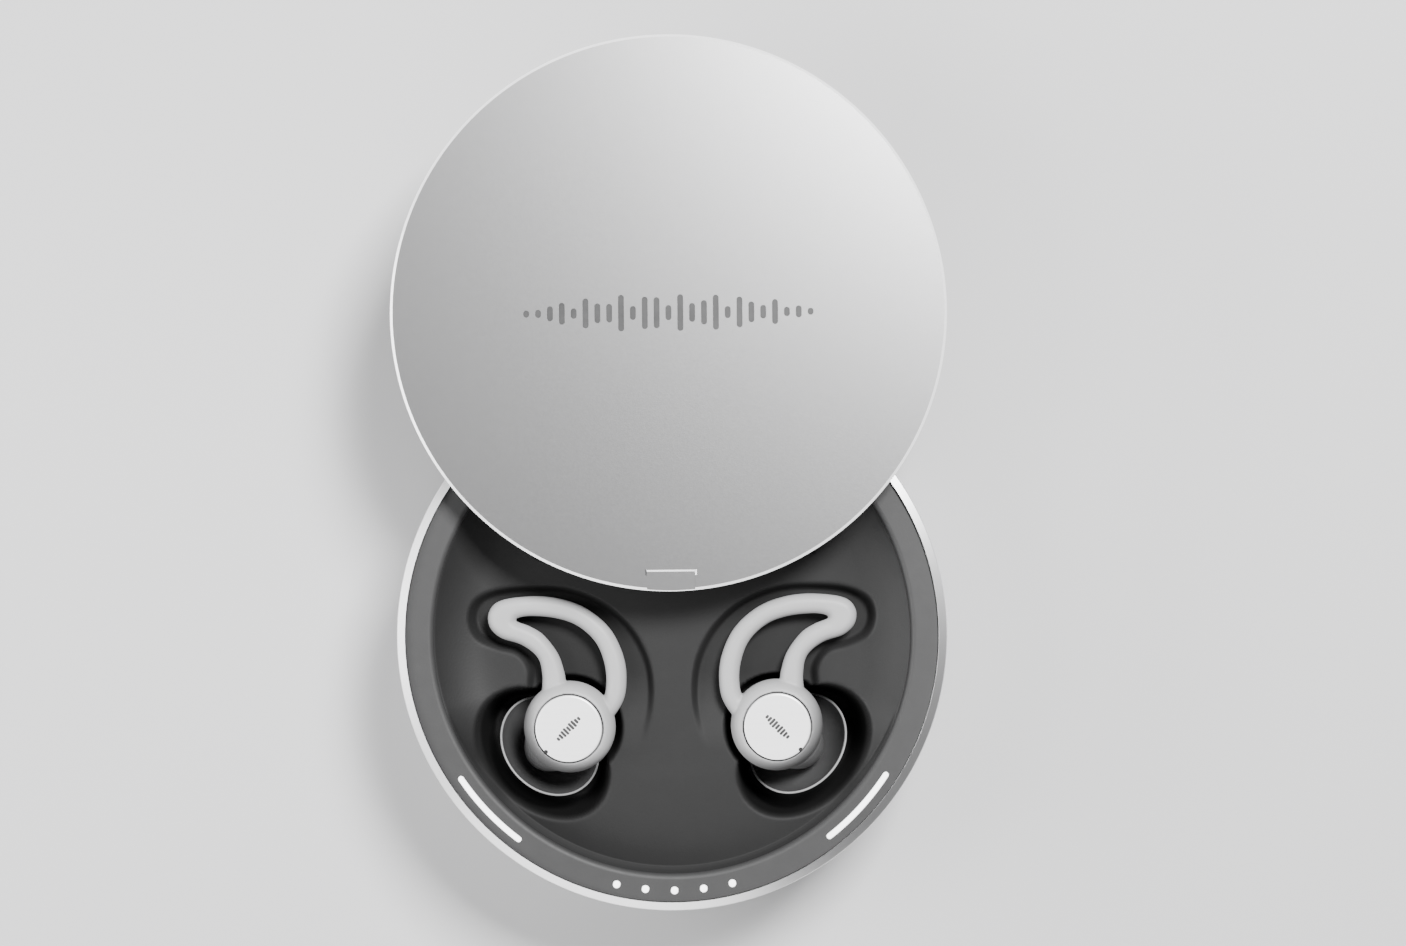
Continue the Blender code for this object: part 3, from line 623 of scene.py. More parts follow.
def brushed_face():
    """The pearl disc on each earbud, finely brushed one way."""
    coat = {"Coat Weight": 0.2, "Coat Roughness": 0.25}
    made, shader = new_material("brushed_face", 0.32, 0.15, coat)
    tree = made.node_tree
    lines = object_noise(tree, 0.9, 4, (0.12, 9, 1))
    colour_from(tree, shader, lines, 0.93, 0.97)
    roughness_from(tree, shader, lines, 0.3, 0.38)
    bump_from(tree, shader, lines, 0.0025)
    return made


def mark_ink():
    """The dark fill of the generic marks."""
    return grained(
        "mark_ink", 0.05, 0.065, (0.4, 0.5), grain=0.12, relief=0.002, patch=3.0, metallic=0.6
    )


def lit_lens():
    """A frosted light guide with its lamp on."""
    lamp = {"Emission Color": (1.0, 1.0, 1.0, 1.0), "Emission Strength": 3.0}
    return grained("lit_lens", 0.85, 0.92, (0.3, 0.4), grain=0.2, relief=0.002, patch=2.0, sockets=lamp)


def port_black():
    """The near black of the microphone ports and the pin islands."""
    return grained("port_black", 0.002, 0.006, (0.6, 0.8), grain=0.1, relief=0.01, patch=0.5)


def foot_rubber():
    return grained("foot_rubber", 0.032, 0.038, (0.75, 0.82), grain=0.45, relief=0.02, patch=1.5)


def liner_plastic():
    """The lid's liner, and the dark plastic pieces that stay as CAD made them."""
    return grained("liner_moulding", 0.035, 0.04, (0.54, 0.6), grain=0.3, relief=0.01, patch=1.5)


def plain_steel():
    """Drawn steel for screws and springs, with fine lines one way."""
    made, shader = new_material("plain_steel", 0.3, 1.0)
    tree = made.node_tree
    lines = object_noise(tree, 0.8, 4, (0.2, 8, 1))
    colour_from(tree, shader, lines, 0.48, 0.58)
    roughness_from(tree, shader, lines, 0.22, 0.38)
    bump_from(tree, shader, lines, 0.002)
    return made


def gold_plate():
    """The charging contacts' gold."""
    made, shader = new_material("gold_plate", 0.22, 1.0)
    tree = made.node_tree
    deep, pale = (0.78, 0.56, 0.22, 1), (0.90, 0.68, 0.30, 1)
    colour_from(tree, shader, object_noise(tree, 0.5), deep, pale)
    roughness_from(tree, shader, object_noise(tree, 0.2), 0.16, 0.3)
    return made


def board_mask():
    """Green solder mask with faint copper runs under it."""
    made, shader = new_material("board_mask", 0.4, 0.0, {"Coat Weight": 0.3})
    tree = made.node_tree
    mask, copper = (0.010, 0.055, 0.025, 1), (0.018, 0.095, 0.045, 1)
    colour_from(tree, shader, object_noise(tree, 2.2, 6), mask, copper, 0.45, 0.55)
    roughness_from(tree, shader, object_noise(tree, 1.0), 0.3, 0.5)
    return made


def cell_foil():
    """The battery's wrinkled wrap."""
    return grained("cell_foil", 0.26, 0.36, (0.3, 0.5), grain=1.2, relief=0.05, metallic=0.7)


# --- the case


def wall_profile():
    """The metal wall's section: a rim that slopes slightly outwards, and a rounded lower corner."""
    top, bend, dip = RIM_TOP, 1.9, 0.26
    foot_inner, foot_height = 33.5, 1.0
    low_corner = corner_arc((CASE_RADIUS - bend, WALL_BOTTOM + bend), bend, -90, 0, steps=16)
    return [
        (foot_inner, WALL_BOTTOM + 0.15),
        (foot_inner + 0.15, WALL_BOTTOM),
        *low_corner,
        (CASE_RADIUS, top - dip - 0.12),
        (CASE_RADIUS - 0.1, top - dip),
        (INNER_RADIUS + 0.06, top),
        (INNER_RADIUS, top - 0.06),
        (INNER_RADIUS, WALL_BOTTOM + foot_height),
        (foot_inner, WALL_BOTTOM + foot_height),
    ]


def polish_edge(target, inner, low, centre_y=0.0):
    """Gives the second finish to the faces that look up beyond a radius and above a height."""
    for face in target.data.polygons:
        middle = face.center / MM
        reach = math.hypot(middle.x, middle.y - centre_y)
        if face.normal.z > 0.3 and reach > inner and middle.z > low:
            face.material_index = 1


def socket_mouth():
    """The slot in the rear wall, its outer edge flared."""
    width, height, corner = 9.5, 3.8, 1.85
    stations = [(34.0, 0.0), (37.75, 0.0), (38.0, 0.18), (39.5, 0.9)]
    rings = []
    for y, flare in stations:
        outline = rounded_rectangle(width + 2 * flare, height + 2 * flare, corner + flare, steps=10)
        rings.append([(x, y, SOCKET_Z + z) for x, z in outline])
    return loft(rings)


def make_wall(metal, bright):
    wall = bare_object("case_wall", turned(wall_profile()), [metal, bright])
    cut(wall, socket_mouth())
    polish_edge(wall, INNER_RADIUS, RIM_TOP - 0.5)
    finish_piece(wall, "base", ["base_shell"], sharp=20)


def light_spots():
    return [polar(LIGHT_RADIUS, -90 + LIGHT_SPACING * i) for i in range(-2, 3)]


def bar_angles(side):
    return sorted(-90 + side * angle for angle in BAR_ANGLES)


def make_status_ring(moulding):
    """The flat ring round the bowl, with a soft inner edge and openings for the lights."""
    low, roll, edge, thickness = RING_TOP - 2.4, 0.8, 0.04, 0.9
    profile = [
        *corner_arc((RING_INNER + roll, RING_TOP - roll), roll, 180, 90, steps=10),
        *corner_arc((RING_OUTER - edge, RING_TOP - edge), edge, 90, 0),
        (RING_OUTER, low),
        (RING_OUTER - thickness, low),
        (RING_OUTER - thickness, RING_TOP - thickness),
        (RING_INNER, RING_TOP - thickness),
    ]
    ring = bare_object("status_ring", turned(profile), [moulding])
    outlines = [circle(DOT_OPENING, SMALL, spot) for spot in light_spots()]
    outlines += [arc_band(LIGHT_RADIUS, BAR_OPENING, *bar_angles(side)) for side in (-1, 1)]
    cut(ring, gathered([prism(outline, RING_TOP - 2, RING_TOP + 1) for outline in outlines]))
    finish_piece(ring, "base", ["light_ring"], sharp=35)


def make_lights(lens):
    """Domed round lenses in front, and a curved bar for each earbud."""
    low, high = RING_TOP - 1.2, RING_TOP + 0.05
    dome = [
        (0, low),
        (DOT_RADIUS, low),
        (DOT_RADIUS, high - 0.14),
        (DOT_RADIUS - 0.04, high - 0.06),
        (DOT_RADIUS - 0.17, high - 0.01),
        (0, high),
    ]
    for i, spot in enumerate(light_spots(), 1):
        piece = bare_object(f"lens_dot_{i}", moved(turned(dome, SMALL), (*spot, 0)), [lens])
        finish_piece(piece, "base", [f"status_light_{i}"])
    for side, word in ((-1, "left"), (1, "right")):
        outline = anticlockwise(arc_band(LIGHT_RADIUS, BAR_WIDTH, *bar_angles(side)))
        piece = bare_object(f"lens_bar_{word}", prism(outline, low, high, chamfer=0.12), [lens])
        finish_piece(piece, "base", [f"{word}_bud_light"])


# --- the bowl


def signed_distance(x, y, outline):
    """Distance to a closed outline, negative inside it."""
    nearest = np.full(x.shape, 1e9)
    inside = np.zeros(x.shape, bool)
    for (ax, ay), (bx, by) in zip(outline, outline[1:] + outline[:1]):
        ex, ey = bx - ax, by - ay
        t = np.clip(((x - ax) * ex + (y - ay) * ey) / (ex * ex + ey * ey), 0, 1)
        nearest = np.minimum(nearest, (x - ax - t * ex) ** 2 + (y - ay - t * ey) ** 2)
        if ey:
            inside ^= ((ay > y) != (by > y)) & (x < ax + (y - ay) / ey * ex)
    return np.where(inside, -1, 1) * np.sqrt(nearest)


def ease(value, start, end):
    """0 at the start, 1 at the end, and smooth between."""
    t = np.clip((value - start) / (end - start), 0, 1)
    return t * t * (3 - 2 * t)


def dish_height(x, y):
    """The plain bowl: it curves up at the sides, and in front it sinks a little to an upright wall."""
    flat, rise, sink, wall = 20.0, 3.56, 0.9, 32.9
    r = np.hypot(x, y)
    share = np.maximum((r - flat) / (BOWL_RADIUS - flat), 0)
    at_side = rise * share**2.8
    up = ease(r, wall, BOWL_RADIUS)
    in_front = rise * up - sink * share**1.5 * (1 - up)
    frontness = ease(-y / np.maximum(r, 1.0), 0.3, 0.72)
    return BOWL_FLOOR + at_side + (in_front - at_side) * frontness


def well_outline(steps=72):
    """The deep well at its mouth: an oval across the nozzle's direction."""
    middle, along_half, across_half = 5.25, 7.5, 10.3
    outline = []
    for i in range(steps):
        a = 2 * math.pi * i / steps
        along = middle + along_half * math.cos(a)
        across = across_half * math.sin(a)
        outline.append((BUD_X + (along + across) * DIAGONAL, BUD_Y + (across - along) * DIAGONAL))
    return outline


def bowl_height(x, y, grow=0.0, drop=0.0):
    """The bowl's height. A grow and a drop give its underside instead."""

    def slope(inside, ends):
        return ease(inside, ends[0] - grow, ends[1] - grow)

    x = np.abs(x)
    out, rear = x - BUD_X, y - BUD_Y
    dish = dish_height(x, y) - drop
    on_plateau = slope(-signed_distance(x, y, PLATEAU), PLATEAU_SLOPE)
    on_plateau = on_plateau * (np.hypot(x, y) < PLATEAU_RADIUS)
    dish = dish + (PLATEAU_TOP - drop - dish) * on_plateau

    # The fin's pocket, which gets deeper towards the rear.
    outline = anticlockwise([(BUD_X + u, BUD_Y + v) for u, v in smooth_loop(POCKET, 6)])
    depth = (dish - (POCKET_FLOOR - drop)) * ease(rear, -3.6, 7.5)
    pocket = dish - depth * slope(-signed_distance(x, y, outline), POCKET_SLOPE)

    # The bud's round seat.
    in_seat = slope(SEAT_RADIUS - np.hypot(out, rear), SEAT_SLOPE)
    seat = dish + (SEAT_FLOOR - drop - dish) * in_seat

    # The tip's deep well: steeper under the bud, and its floor rises towards the case's wall.
    under_bud = ease((out - rear) * DIAGONAL, 1.5, -0.5)
    spread = grow * (1 - 0.6 * under_bud)
    start = WELL_SLOPE[0] + 0.3 * under_bud - spread
    end = WELL_SLOPE[1] - 1.1 * under_bud - spread
    in_well = ease(-signed_distance(x, y, well_outline()), start, end)
    floor = WELL_FLOOR - drop + WELL_RISE * ease(out - rear, 8.0, 21.0)
    well = dish + (floor - dish) * in_well
    return np.minimum(pocket, np.minimum(seat, well))


def polar_grid(rings, around, radius):
    """Points on rings about the origin, leaving out the origin."""
    r = radius * np.arange(1, rings + 1) / rings
    a = 2 * math.pi * np.arange(around) / around
    return np.outer(r, np.cos(a)), np.outer(r, np.sin(a))


def skin_faces(rings, around, first, centre):
    """Quads between neighbouring rings of points, and triangles round the centre point."""
    faces = []
    for k in range(rings - 1):
        for i in range(around):
            j = (i + 1) % around
            low, high = first + k * around, first + (k + 1) * around
            faces.append((low + i, high + i, high + j, low + j))
    faces += [(centre, first + i, first + (i + 1) % around) for i in range(around)]
    return faces


def make_bowl(moulding):
    """The tray as one closed skin: a fine top, a flange under the ring, and a coarser underside."""
    rings, around = 120, 480
    x, y = polar_grid(rings, around, BOWL_RADIUS)
    top = np.stack([x, y, bowl_height(x, y)], -1).reshape(-1, 3)
    points = [np.array([[0, 0, BOWL_FLOOR]]), top]
    faces = skin_faces(rings, around, 1, 0)
    count = 1 + len(top)
    flange, outer = RING_TOP - 2.6, RING_OUTER - 0.2
    steps = [
        (BOWL_RADIUS + 0.1, RING_TOP - 0.93),
        (BOWL_RADIUS + 0.2, flange),
        (outer, flange),
        (outer, flange - 1.3),
    ]
    angles = 2 * math.pi * np.arange(around) / around
    previous = count - around
    for r, z in steps:
        points.append(np.stack([r * np.cos(angles), r * np.sin(angles), np.full(around, z)], -1))
        for i in range(around):
            j = (i + 1) % around
            faces.append((previous + i, count + i, count + j, previous + j))
        previous, count = count, count + around
    under_rings, under_around = rings // 2, around // 2
    x, y = polar_grid(under_rings, under_around, BOWL_RADIUS - 0.6)
    below = np.stack([x, y, bowl_height(x, y, BOWL_UNDER_GROW, BOWL_THICKNESS)], -1).reshape(-1, 3)
    points += [np.array([[0, 0, BOWL_FLOOR - BOWL_THICKNESS]]), below]
    centre, first = count, count + 1
    last = first + (under_rings - 1) * under_around
    for face in skin_faces(under_rings, under_around, first, centre):
        faces.append(face[::-1])
    for i in range(under_around):
        j, k = 2 * i, (2 * i + 2) % around
        inner = (last + i, last + (i + 1) % under_around)
        faces.append((previous + j, *inner, previous + k, previous + j + 1))
    bowl = bare_object("bowl", skin(np.concatenate(points), faces), [moulding])
    holes = [circle(0.62, SMALL, spot) for spot in pin_spots("left") + pin_spots("right")]
    cut(bowl, gathered([prism(hole, SEAT_FLOOR - 4, SEAT_FLOOR + 1) for hole in holes]))
    finish_piece(bowl, "base", ["deck"], sharp=0)


def pin_spots(word):
    """Where one earbud's two charging pins stand, in plan."""
    spots = []
    for i in (1, 2):
        low, high = box_mm(f"{word}_charge_pin_{i}")
        spots.append(((low[0] + high[0]) / 2, (low[1] + high[1]) / 2))
    return spots


def make_pin_islands(moulding):
    """The raised black island round each pair of charging pins."""
    for side, word in ((-1, "left"), (1, "right")):
        spots = pin_spots(word)
        middle = np.mean(spots, axis=0)
        outline = rounded_rectangle(4.4, 2.0, 0.98)
        island = prism(outline, SEAT_FLOOR - 0.4, SEAT_FLOOR + 0.2, chamfer=0.12)
        island = swung(island, turn_about_z(side * 45))
        piece = bare_object(f"{word}_pin_island", moved(island, (*middle, 0)), [moulding])
        holes = [prism(circle(0.5, SMALL, spot), SEAT_FLOOR - 1, SEAT_FLOOR + 1) for spot in spots]
        cut(piece, gathered(holes))
        finish_piece(piece, "base")


def turn_about_z(degrees):
    return Matrix.Rotation(math.radians(degrees), 3, "Z")


def make_foot(rubber):
    """The round rubber foot, with two shallow grooves under it."""
    radius, _, top = box_mm("foot_pad")[1]
    depth = 0.25
    profile = [(0, 0)]
    for groove in (20.0, 29.5):
        profile += [(groove - 2 * depth, 0), (groove - depth, depth)]
        profile += [(groove + depth, depth), (groove + 2 * depth, 0)]
    profile += [(radius - 0.7, 0), (radius - 0.2, 0.15), (radius, 0.6), (radius, top), (0, top)]
    foot = bare_object("round_foot", turned(profile), [rubber])
    finish_piece(foot, "base", ["foot_pad"], sharp=35)


# --- the lid


def lid_profile():
    """The lid's section: flat top, bright chamfer, straight side, and a skirt round the liner."""
    edge, skirt, thickness = 0.3, INNER_RADIUS + 0.2, 1.1
    return [
        (0, LID_TOP),
        (CASE_RADIUS - LID_CHAMFER, LID_TOP),
        (CASE_RADIUS, LID_TOP - LID_BEVEL_DROP),
        (CASE_RADIUS, LID_BOTTOM + edge),
        (CASE_RADIUS - edge, LID_BOTTOM),
        (skirt, LID_BOTTOM),
        (skirt, LID_TOP - thickness),
        (0, LID_TOP - thickness),
    ]


def notch_levels():
    """The notch's floor, and for its cutters just above the lid's surface and clear above it."""
    return LID_TOP - NOTCH_DEPTH, LID_TOP + 0.02, LID_TOP + 1


def notch_cutter():
    """The thumb notch: a very shallow step in from the front edge, ended by a sloping bright edge."""
    low, surface, high = notch_levels()
    top_rear = NOTCH_REAR + NOTCH_SLOPE
    section = [(NOTCH_FRONT, low), (NOTCH_REAR, low), (top_rear, surface), (top_rear, high)]
    section.append((NOTCH_FRONT, high))
    return loft([[(x, LID_Y + y, z) for y, z in section] for x in (-NOTCH_HALF, NOTCH_HALF)])


def notch_corner(side):
    """The bright edge's short return at one end of the notch."""
    low, surface, high = notch_levels()
    inner, outer = side * (NOTCH_HALF - 0.01), side * (NOTCH_HALF + NOTCH_SLOPE)
    section = [(inner, low), (outer, surface), (outer, high), (inner, high)]
    ends = (NOTCH_REAR - NOTCH_RETURN, NOTCH_REAR + NOTCH_SLOPE)
    return loft([[(x, LID_Y + y, z) for x, z in section] for y in ends])


def polish_notch(lid):
    """Gives the second finish, with its painted glint, to the notch's sloping edges, but not to its
    floor or the lid's top.
    """
    for face in lid.data.polygons:
        middle = face.center / MM
        near = abs(middle.x) < NOTCH_HALF + 0.7 and middle.y < LID_Y + NOTCH_REAR + 0.4
        if near and 0.3 < face.normal.z < 0.93 and face.normal.y < 0:
            face.material_index = 1


def wave_bars(count, pitch, width, tall, least, low, high):
    """A generic mark: a row of upright round-ended bars that swell and fade like a sound wave."""
    bars = []
    for i in range(count):
        t = i / (count - 1) * 2 - 1
        swell = math.cos(t * math.pi / 2) ** 0.6 * (0.62 + 0.38 * math.cos(i * 2.4)) + least
        length = max(width * 1.2, tall * min(swell, 1.0))
        outline = rounded_rectangle(width, length, width * 0.49, steps=6)
        bars.append(moved(prism(outline, low, high), ((i - (count - 1) / 2) * pitch, 0, 0)))
    return gathered(bars)


def make_lid(metal, bright, ink):
    """The metal disc with its notch, and a generic mark let into its top."""
    mark_depth = 0.12
    lid = bare_object("lid_shell", moved(turned(lid_profile()), (0, LID_Y, 0)), [metal, bright])
    cut(lid, notch_cutter())
    cut(lid, gathered([notch_corner(-1), notch_corner(1)]))
    cutter = wave_bars(**LID_MARK, low=LID_TOP - mark_depth, high=LID_TOP + 1)
    cut(lid, moved(cutter, (0, LID_Y, 0)))
    # The lid's chamfer and the notch's sloping edges get the second finish, a painted glint.
    polish_edge(lid, CASE_RADIUS - LID_CHAMFER, LID_TOP - LID_BEVEL_DROP, LID_Y)
    polish_notch(lid)
    finish_piece(lid, "lid", ["lid_plate"], sharp=3)
    slack = 0.03
    narrower = {"width": LID_MARK["width"] - slack, "tall": LID_MARK["tall"] - slack}
    inlay = wave_bars(**(LID_MARK | narrower), low=0, high=0.1)
    inlay = moved(inlay, (0, LID_Y, LID_TOP - mark_depth - 0.01))
    inlay = bare_object("lid_wave_mark", inlay, [ink])
    finish_piece(inlay, "lid")


def make_liner(moulding):
    """The lid's underside, with a narrow slot under a wider channel for each guide to run in."""
    radius, edge, gap = LINER_HIGH[0], 0.25, 0.3
    profile = [
        (0, LID_BOTTOM),
        (radius - edge, LID_BOTTOM),
        (radius, LID_BOTTOM + edge),
        (radius, LINER_TOP),
        (0, LINER_TOP),
    ]
    liner = bare_object("lid_underside", moved(turned(profile), (0, LID_Y, 0)), [moulding])
    guide_low, guide_high = box_mm("right_lid_guide")
    guide_x = (guide_low[0] + guide_high[0]) / 2
    travel = LID_Y
    front, rear = guide_low[1] - gap, guide_high[1] + travel + gap
    middle, length = (front + rear) / 2, rear - front
    for side in (-1, 1):
        for width, low in ((3.1, LID_BOTTOM - 1), (6.6, LID_BOTTOM + 1.2)):
            slot = prism(rounded_rectangle(width, length, 0.4), low, LINER_TOP + 1)
            cut(liner, moved(slot, (side * guide_x, middle, 0)))
    finish_piece(liner, "lid", ["lid_liner"])


# --- the earbuds


def about_nozzle(profile, steps=MEDIUM):
    """A right-hand solid turned about the nozzle: (radius, distance from the bud's centre)."""
    swing = Vector((0, 0, 1)).rotation_difference(Vector(NOZZLE)).to_matrix()
    return swung(turned(profile, steps), swing)


def placed_bud(shape, side):
    """A right-hand shape about the bud's own centre, moved to its place in the case."""
    return moved(mirrored(shape, side), (side * BUD_X, BUD_Y, BUD_Z))


def place_piece(target, side):
    """Moves a piece's right-hand mesh to its place in the case."""
    shape = bmesh.new()
    shape.from_mesh(target.data)
    placed_bud(shape, side).to_mesh(target.data)
    shape.free()


def fin_shape():
    """The hooked fin with elliptical edges, as a solid with its loop left open."""
    half, middle, roll, slim = 1.4, 0.15, 1.38, 0.06
    shares = (-0.97, -0.88, -0.72, -0.5, -0.25, 0, 0.25, 0.5, 0.72, 0.88, 0.97)
    outer = anticlockwise(smooth_loop(FIN_OUTER, 6))
    inner = anticlockwise(smooth_loop(FIN_INNER, 6))
    levels = [(share * half + middle, slim + roll * (1 - math.sqrt(1 - share**2))) for share in shares]
    solid = loft([[(x, y, z) for x, y in grown(outer, -inset)] for z, inset in levels])
    ends = [(levels[0][0] - 1, levels[0][1]), *levels, (levels[-1][0] + 1, levels[-1][1])]
    hole = loft([[(x, y, z) for x, y in grown(inner, inset)] for z, inset in ends])
    return solid, hole


def neck_shape():
    """The cone from the sleeve out along the nozzle, fuller on its upper side."""
    across = Vector((DIAGONAL, DIAGONAL, 0))
    along = Vector(NOZZLE)
    upwards = along.cross(across)
    if upwards.z < 0:
        upwards.negate()
    rings = []
    for reach, radius, rise in NECK_RINGS:
        centre = along * reach + upwards * rise
        rings.append([centre + across * x + upwards * y for x, y in circle(radius, MEDIUM)])
    return loft(rings)


def make_sleeve(side, word, moulding):
    """The silicone sleeve with its fin and the neck that holds the umbrella, as one moulding."""
    sleeve = bare_object(f"{word}_sleeve_and_fin", turned(SLEEVE, MEDIUM), [moulding])
    solid, hole = fin_shape()
    fin = bare_object("fin", solid)
    cut(fin, hole)
    fin_mesh = bmesh.new()
    fin_mesh.from_mesh(fin.data)
    bpy.data.objects.remove(fin)
    join(sleeve, fin_mesh)
    join(sleeve, neck_shape())
    housing_room = [(0, -4.7), (4.5, -4.7), (5.3, -3.8), (5.3, 2.28), (0, 2.28)]
    cut(sleeve, turned(housing_room, MEDIUM))
    face_opening, nozzle_opening, contact_opening = 4.83, 1.87, 2.3
    cut(sleeve, prism(circle(face_opening, MEDIUM), 1, 5))
    cut(sleeve, about_nozzle([(0, 2), (nozzle_opening, 2), (nozzle_opening, 12), (0, 12)], SMALL))
    inwards = 3.5 * DIAGONAL
    cut(sleeve, prism(circle(contact_opening, SMALL, (-inwards, inwards)), -7, -4))
    remake(sleeve, voxel=0.14, rounds=9)
    lean_to_nozzle(sleeve.data.vertices)
    place_piece(sleeve, side)
    finish_piece(sleeve, f"{word}_bud", [f"{word}_ear_tip"], sharp=0)


def lean_to_nozzle(vertices):
    """Lowers the sleeve's edge on the nozzle's side, so that it runs down into the neck."""
    lean, widest, behind = 0.6, 1.9, 0.2
    for vertex in vertices:
        x, y, z = vertex.co / MM
        reach = math.hypot(x, y)
        if reach > FACE_RADIUS:
            towards = max(0.0, (x - y) * DIAGONAL / reach + behind) / (1 + behind)
            beyond = min(reach - FACE_RADIUS, widest)
            lower = lean * towards * beyond * ease(z, -3.5, 1.8) * ease(y, 4.5, 1.5)
            vertex.co.z -= lower * MM


def make_umbrella(side, word, wall, rim):
    """The thin dome round the nozzle and the thicker bead along its edge."""
    radius, depth, edge = 7.7, 4.3, 6.65
    thickness, opening, bead_radius = 0.34, 1.25, 0.15
    sphere = (radius**2 + depth**2) / (2 * depth)
    centre = edge + depth - sphere
    start = math.asin(opening / sphere)
    end = math.asin((radius - 0.08) / sphere)
    angles = [start + (end - start) * i / 16 for i in range(17)]
    inside = sphere - thickness
    outer = [(sphere * math.sin(a), centre + sphere * math.cos(a)) for a in angles]
    inner = [(inside * math.sin(a), centre + inside * math.cos(a)) for a in angles]
    dome = placed_bud(about_nozzle(outer + inner[::-1]), side)
    dome = bare_object(f"{word}_umbrella", dome, [wall])
    finish_piece(dome, f"{word}_bud", [f"{word}_ear_tip"], sharp=50)
    bead = corner_arc((radius - bead_radius, edge - 0.03), bead_radius, 0, 345, steps=23)
    bead = bare_object(f"{word}_umbrella_rim", placed_bud(about_nozzle(bead), side), [rim])
    finish_piece(bead, f"{word}_bud", [f"{word}_ear_tip"], sharp=0)


def make_face(side, word, metal, port, ink):
    """The pearl disc, its small generic mark, and the microphone port in its edge."""
    top, low, edge = FACE_TOP, 2.4, FACE_RADIUS
    profile = [
        (0, low),
        (edge, low),
        (edge, top - 0.18),
        (edge - 0.05, top - 0.07),
        (edge - 0.17, top - 0.01),
        (edge - 0.32, top),
        (0, top),
    ]
    disc = bare_object(f"{word}_face_disc", turned(profile, MEDIUM), [metal])
    port_spot = (4.5 * DIAGONAL, -4.5 * DIAGONAL)
    cut(disc, prism(circle(0.3, SMALL, port_spot), 1, 5))
    cut(disc, swung(wave_bars(**FACE_MARK, low=top - 0.05, high=top + 1), turn_about_z(-45)))
    place_piece(disc, side)
    finish_piece(disc, f"{word}_bud", [f"{word}_bud_face"])
    inlay = swung(wave_bars(**FACE_MARK, low=top - 0.06, high=top - 0.01), turn_about_z(-45))
    inlay = bare_object(f"{word}_face_mark", placed_bud(inlay, side), [ink])
    finish_piece(inlay, f"{word}_bud")
    hole = prism(circle(0.27, SMALL, port_spot), 1.8, top - 0.25)
    hole = bare_object(f"{word}_microphone_port", placed_bud(hole, side), [port])
    finish_piece(hole, f"{word}_bud")


def make_housing(side, word, moulding):
    """The bud's body with its nozzle, and two openings below for the charging contacts."""
    profile = [
        (0, -4.6),
        *corner_arc((4.4, -3.8), 0.8, -90, 0),
        *corner_arc((4.95, 1.95), 0.25, 0, 90),
        (4.55, 2.2),
        (4.55, -3.9),
        (0, -3.9),
    ]
    housing = bare_object(f"{word}_housing_body", turned(profile, MEDIUM), [moulding])
    radius, bore = 1.75, 1.1
    nozzle = [(0, 4.0), (radius, 4.0), (radius, 10.2), (radius - 0.1, 10.3), (0, 10.3)]
    join(housing, about_nozzle(nozzle, SMALL))
    cut(housing, about_nozzle([(0, 3.4), (bore, 3.4), (bore, 12), (0, 12)], SMALL))
    reach, spread = 3.7, 1.1
    for offset in (spread, -spread):
        spot = ((-reach + offset) * DIAGONAL, (reach + offset) * DIAGONAL)
        cut(housing, prism(circle(0.5, SMALL, spot), -6, -3.2))
    place_piece(housing, side)
    finish_piece(housing, f"{word}_bud", [f"{word}_bud_housing"], sharp=35)


# --- stage


def make_floor():
    """A plain pale floor, just below the foot."""
    shape = bmesh.new()
    bmesh.ops.create_grid(shape, x_segments=1, y_segments=1, size=3.0)
    made, shader = new_material("pale_floor", 0.85)
    shader.inputs["Base Color"].default_value = tone(FLOOR_TONE)
    floor = bare_object("floor", shape, [made])
    floor.location.z = -0.05 * MM


def add_light(name, place, aim, size, power):
    """A rectangular soft light, aimed at a point. Places and sizes are in millimetres."""
    light = bpy.data.lights.new(name, "AREA")
    light.shape = "RECTANGLE"
    light.size, light.size_y = size[0] * MM, size[1] * MM
    light.energy = power
    holder = bpy.data.objects.new(name, light)
    holder.location = Vector(place) * MM
    holder.rotation_euler = (Vector(aim) - Vector(place)).to_track_quat("-Z", "Y").to_euler()
    bpy.context.scene.collection.objects.link(holder)


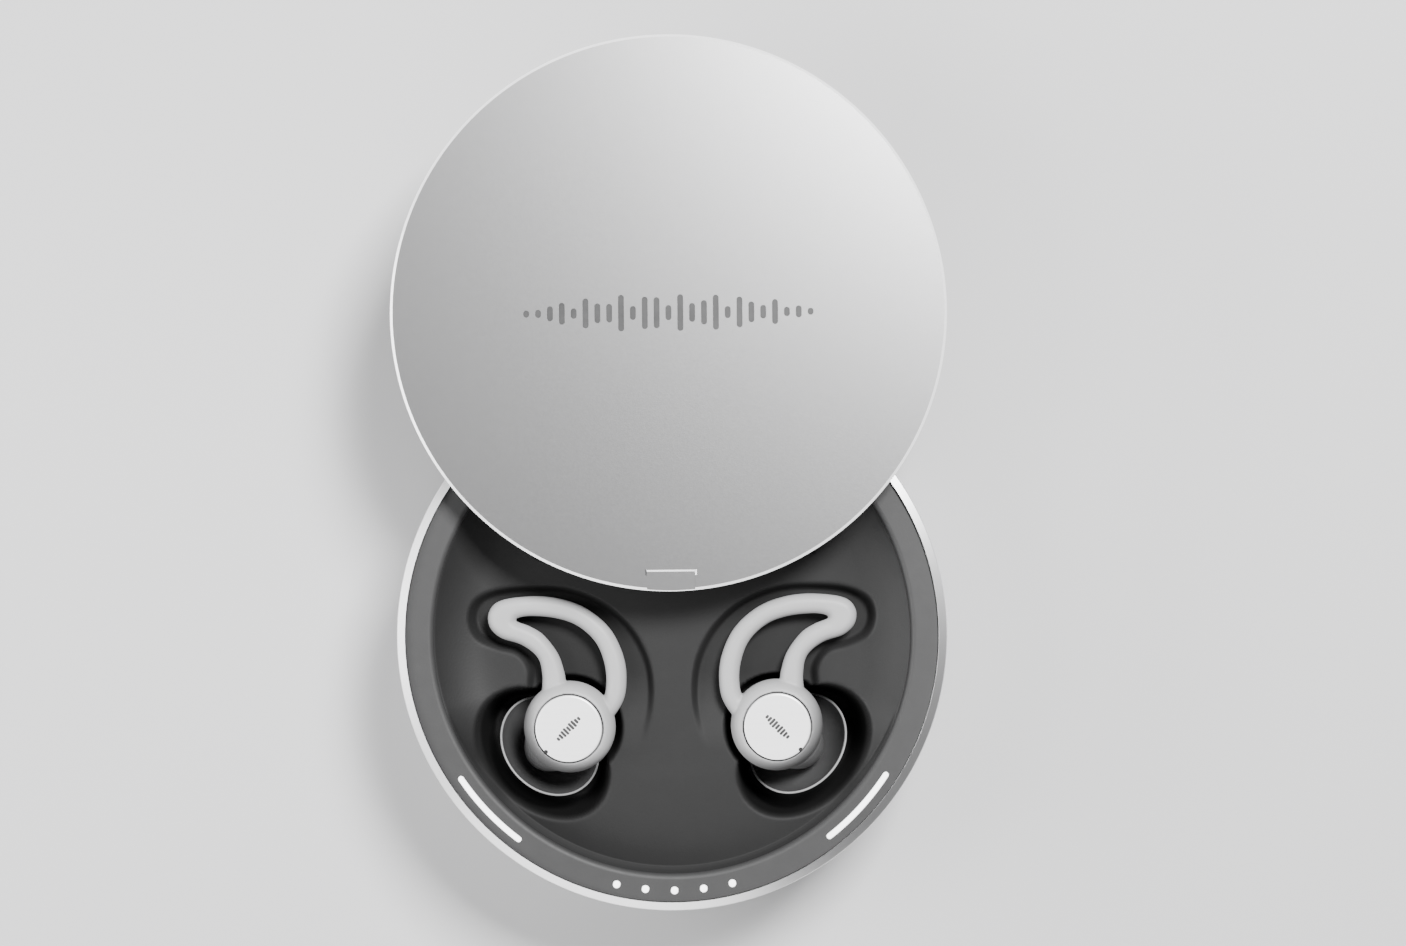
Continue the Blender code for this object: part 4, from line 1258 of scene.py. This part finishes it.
def light_the_scene():
    world = bpy.data.worlds.new("studio")
    world.use_nodes = True
    background = world.node_tree.nodes["Background"]
    background.inputs["Color"].default_value = (1.0, 1.0, 1.0, 1.0)
    background.inputs["Strength"].default_value = WORLD_STRENGTH
    bpy.context.scene.world = world
    for name, settings in LIGHTS.items():
        add_light(name, *settings)


def add_camera():
    camera = bpy.data.cameras.new("camera")
    camera.sensor_width = SENSOR
    camera.lens = FOCAL_PIXELS / IMAGE_WIDTH * SENSOR
    camera.clip_start = 0.01
    holder = bpy.data.objects.new("camera", camera)
    holder.location = Vector(CAMERA_PLACE) * MM
    holder.rotation_euler = (0, 0, CAMERA_TURN)
    bpy.context.scene.collection.objects.link(holder)
    bpy.context.scene.camera = holder


def paint_carried_nodes(finishes):
    """Gives the CAD nodes that stay as they are the finish for their slot."""
    slots = {row["node"]: row["material_slot"] for row in frame["record"]["subparts"]}
    for name, node in frame["nodes"].items():
        if node.hide_render or slots[name] not in finishes:
            continue
        node.data.materials.clear()
        node.data.materials.append(finishes[slots[name]])


def main():
    add_camera()
    light_the_scene()
    make_floor()
    metal, dark = blasted_metal(), soft_touch()
    rim_metal = cut_metal("rim_metal", 1.0, 0.72, 0.76)
    # The lid's chamfer and notch edges: mostly diffuse near-white, a painted glint on the metal.
    edge_metal_painted_glint = cut_metal("edge_metal_painted_glint", 0.25, 0.93, 0.96)
    liner_moulding = liner_plastic()
    ink, lens, port = mark_ink(), lit_lens(), port_black()
    make_wall(metal, rim_metal)
    make_status_ring(ring_moulding())
    make_lights(lens)
    make_bowl(dark)
    make_pin_islands(port)
    make_foot(foot_rubber())
    make_lid(metal, edge_metal_painted_glint, ink)
    make_liner(liner_moulding)
    sleeve, wall, rim = silicone(), membrane(), rim_silicone()
    face, moulding = brushed_face(), bud_moulding()
    for side, word in ((-1, "left"), (1, "right")):
        make_sleeve(side, word, sleeve)
        make_umbrella(side, word, wall, rim)
        make_face(side, word, face, port, ink)
        make_housing(side, word, moulding)
    finishes = {
        "steel": plain_steel(),
        "gold_contact": gold_plate(),
        "circuit_board": board_mask(),
        "cell_wrap": cell_foil(),
        "dark_soft_plastic": liner_moulding,
    }
    paint_carried_nodes(finishes)


main()
